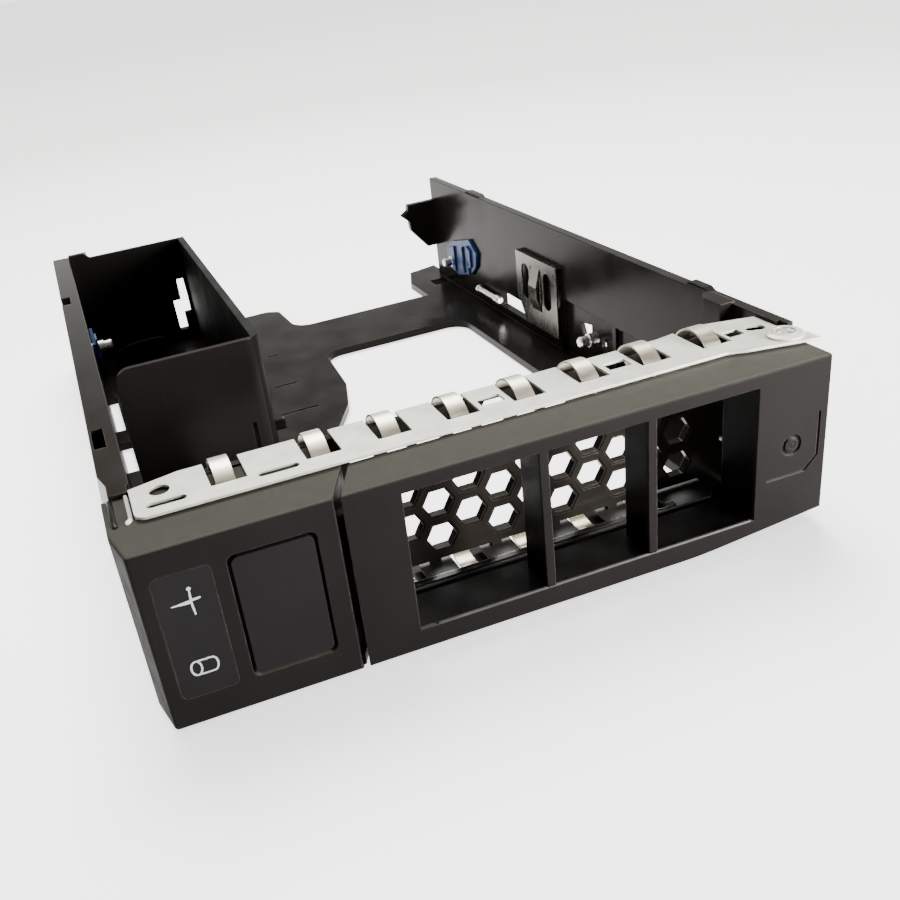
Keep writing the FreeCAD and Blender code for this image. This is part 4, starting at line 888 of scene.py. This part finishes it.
# soft studio light
sunLook = {"strength": 7.0, "spread": 38, "turn": (35, 10)}
panelLights = {
    "overhead": {"place": (-0.1, 0.15, 1.0), "aim": (0, 0, 0), "size": (0.9, 0.9),
                 "watts": 8.0, "colour": (1.0, 0.96, 0.88)},
    "behind": {"place": (0.1, 0.6, 0.75), "aim": (0, 0.02, 0.01), "size": (1.2, 0.3),
               "watts": 2.0, "colour": (1.0, 0.96, 0.86)},
    "rightFront": {"place": (0.13, -0.21, 0.06), "aim": (0.06, -0.085, 0.02), "size": (0.08, 0.08),
                   "watts": 3.8, "colour": (1.0, 0.97, 0.96), "partOnly": True},
    "leftSide": {"place": (-0.7, 0.1, 0.35), "aim": (0, 0, 0.01), "size": (0.6, 0.4),
                 "watts": 0.9, "colour": (1.0, 0.98, 0.94)},
}


def addSun(look):
    data = bpy.data.lights.new("softSun", "SUN")
    data.energy = look["strength"]
    data.angle = math.radians(look["spread"])
    sun = bpy.data.objects.new("softSun", data)
    sun.rotation_euler = (math.radians(-look["turn"][0]), math.radians(look["turn"][1]), 0)
    bpy.context.scene.collection.objects.link(sun)


def addPanelLight(name, look):
    data = bpy.data.lights.new(name, "AREA")
    data.shape = "RECTANGLE"
    data.size, data.size_y = look["size"]
    data.energy = look["watts"]
    data.color = look["colour"]
    light = bpy.data.objects.new(name, data)
    light.location = look["place"]
    direction = Vector(look["aim"]) - light.location
    light.rotation_euler = direction.to_track_quat("-Z", "Y").to_euler()
    bpy.context.scene.collection.objects.link(light)
    if look.get("partOnly"):
        # this light reaches the part and leaves the floor alone
        receivers = bpy.data.collections.new(name + "Receivers")
        for item in bpy.data.objects:
            if item.type == "MESH" and max(item.dimensions) < 1:
                receivers.objects.link(item)
        light.light_linking.receiver_collection = receivers


addSun(sunLook)
for lightName, look in panelLights.items():
    addPanelLight(lightName, look)

# room light: as pale as the floor at the horizon, dimmer above, dimmest in front of the part
roomLook = {"strength": 4, "horizon": 0.625, "horizonTop": 0.07, "fadeTop": 0.32,
            "front": 0.075, "back": 0.15, "backFrom": 0.7, "tone": (1.0, 0.96, 0.87)}


def buildRoom(look):
    world = bpy.data.worlds.new("softRoom")
    bpy.context.scene.world = world
    world.use_nodes = True
    tree = world.node_tree
    direction = node(tree, "ShaderNodeTexCoord").outputs["Generated"]
    split = node(tree, "ShaderNodeSeparateXYZ")
    tree.links.new(direction, split.inputs[0])
    front, back = tints(look["tone"], (look["front"], look["back"]))
    above = spread(tree, split.outputs["Y"], front, back, (0.0, look["backFrom"]))
    low = spread(tree, split.outputs["Z"], 1, 0, (look["horizonTop"], look["fadeTop"]))
    background = tree.nodes["Background"]
    tree.links.new(mixed(tree, low, above, look["horizon"]), background.inputs["Color"])
    background.inputs["Strength"].default_value = look["strength"]


buildRoom(roomLook)
print("stage and lights ready")

cameraLook = {
    "place": (-48.40 * mm, -195.23 * mm, 91.25 * mm),
    "yaw": 14.536, "down": 28.020, "tilt": 9.106,  # degrees
    "sensor": 36, "lens": 39.55, "shift": (0.0884, 0.0273), "clip": (0.01, 100),
}


def addCamera(look):
    data = bpy.data.cameras.new("view")
    data.sensor_width = look["sensor"]
    data.lens = look["lens"]
    data.shift_x, data.shift_y = look["shift"]
    data.clip_start, data.clip_end = look["clip"]
    camera = bpy.data.objects.new("view", data)
    turn = Euler((math.radians(90 - look["down"]), 0, -math.radians(look["yaw"]))).to_matrix()
    turn = turn @ Matrix.Rotation(-math.radians(look["tilt"]), 3, "Z")
    camera.rotation_euler = turn.to_euler()
    camera.location = look["place"]
    bpy.context.scene.collection.objects.link(camera)
    bpy.context.scene.camera = camera


addCamera(cameraLook)

print("scene ready")
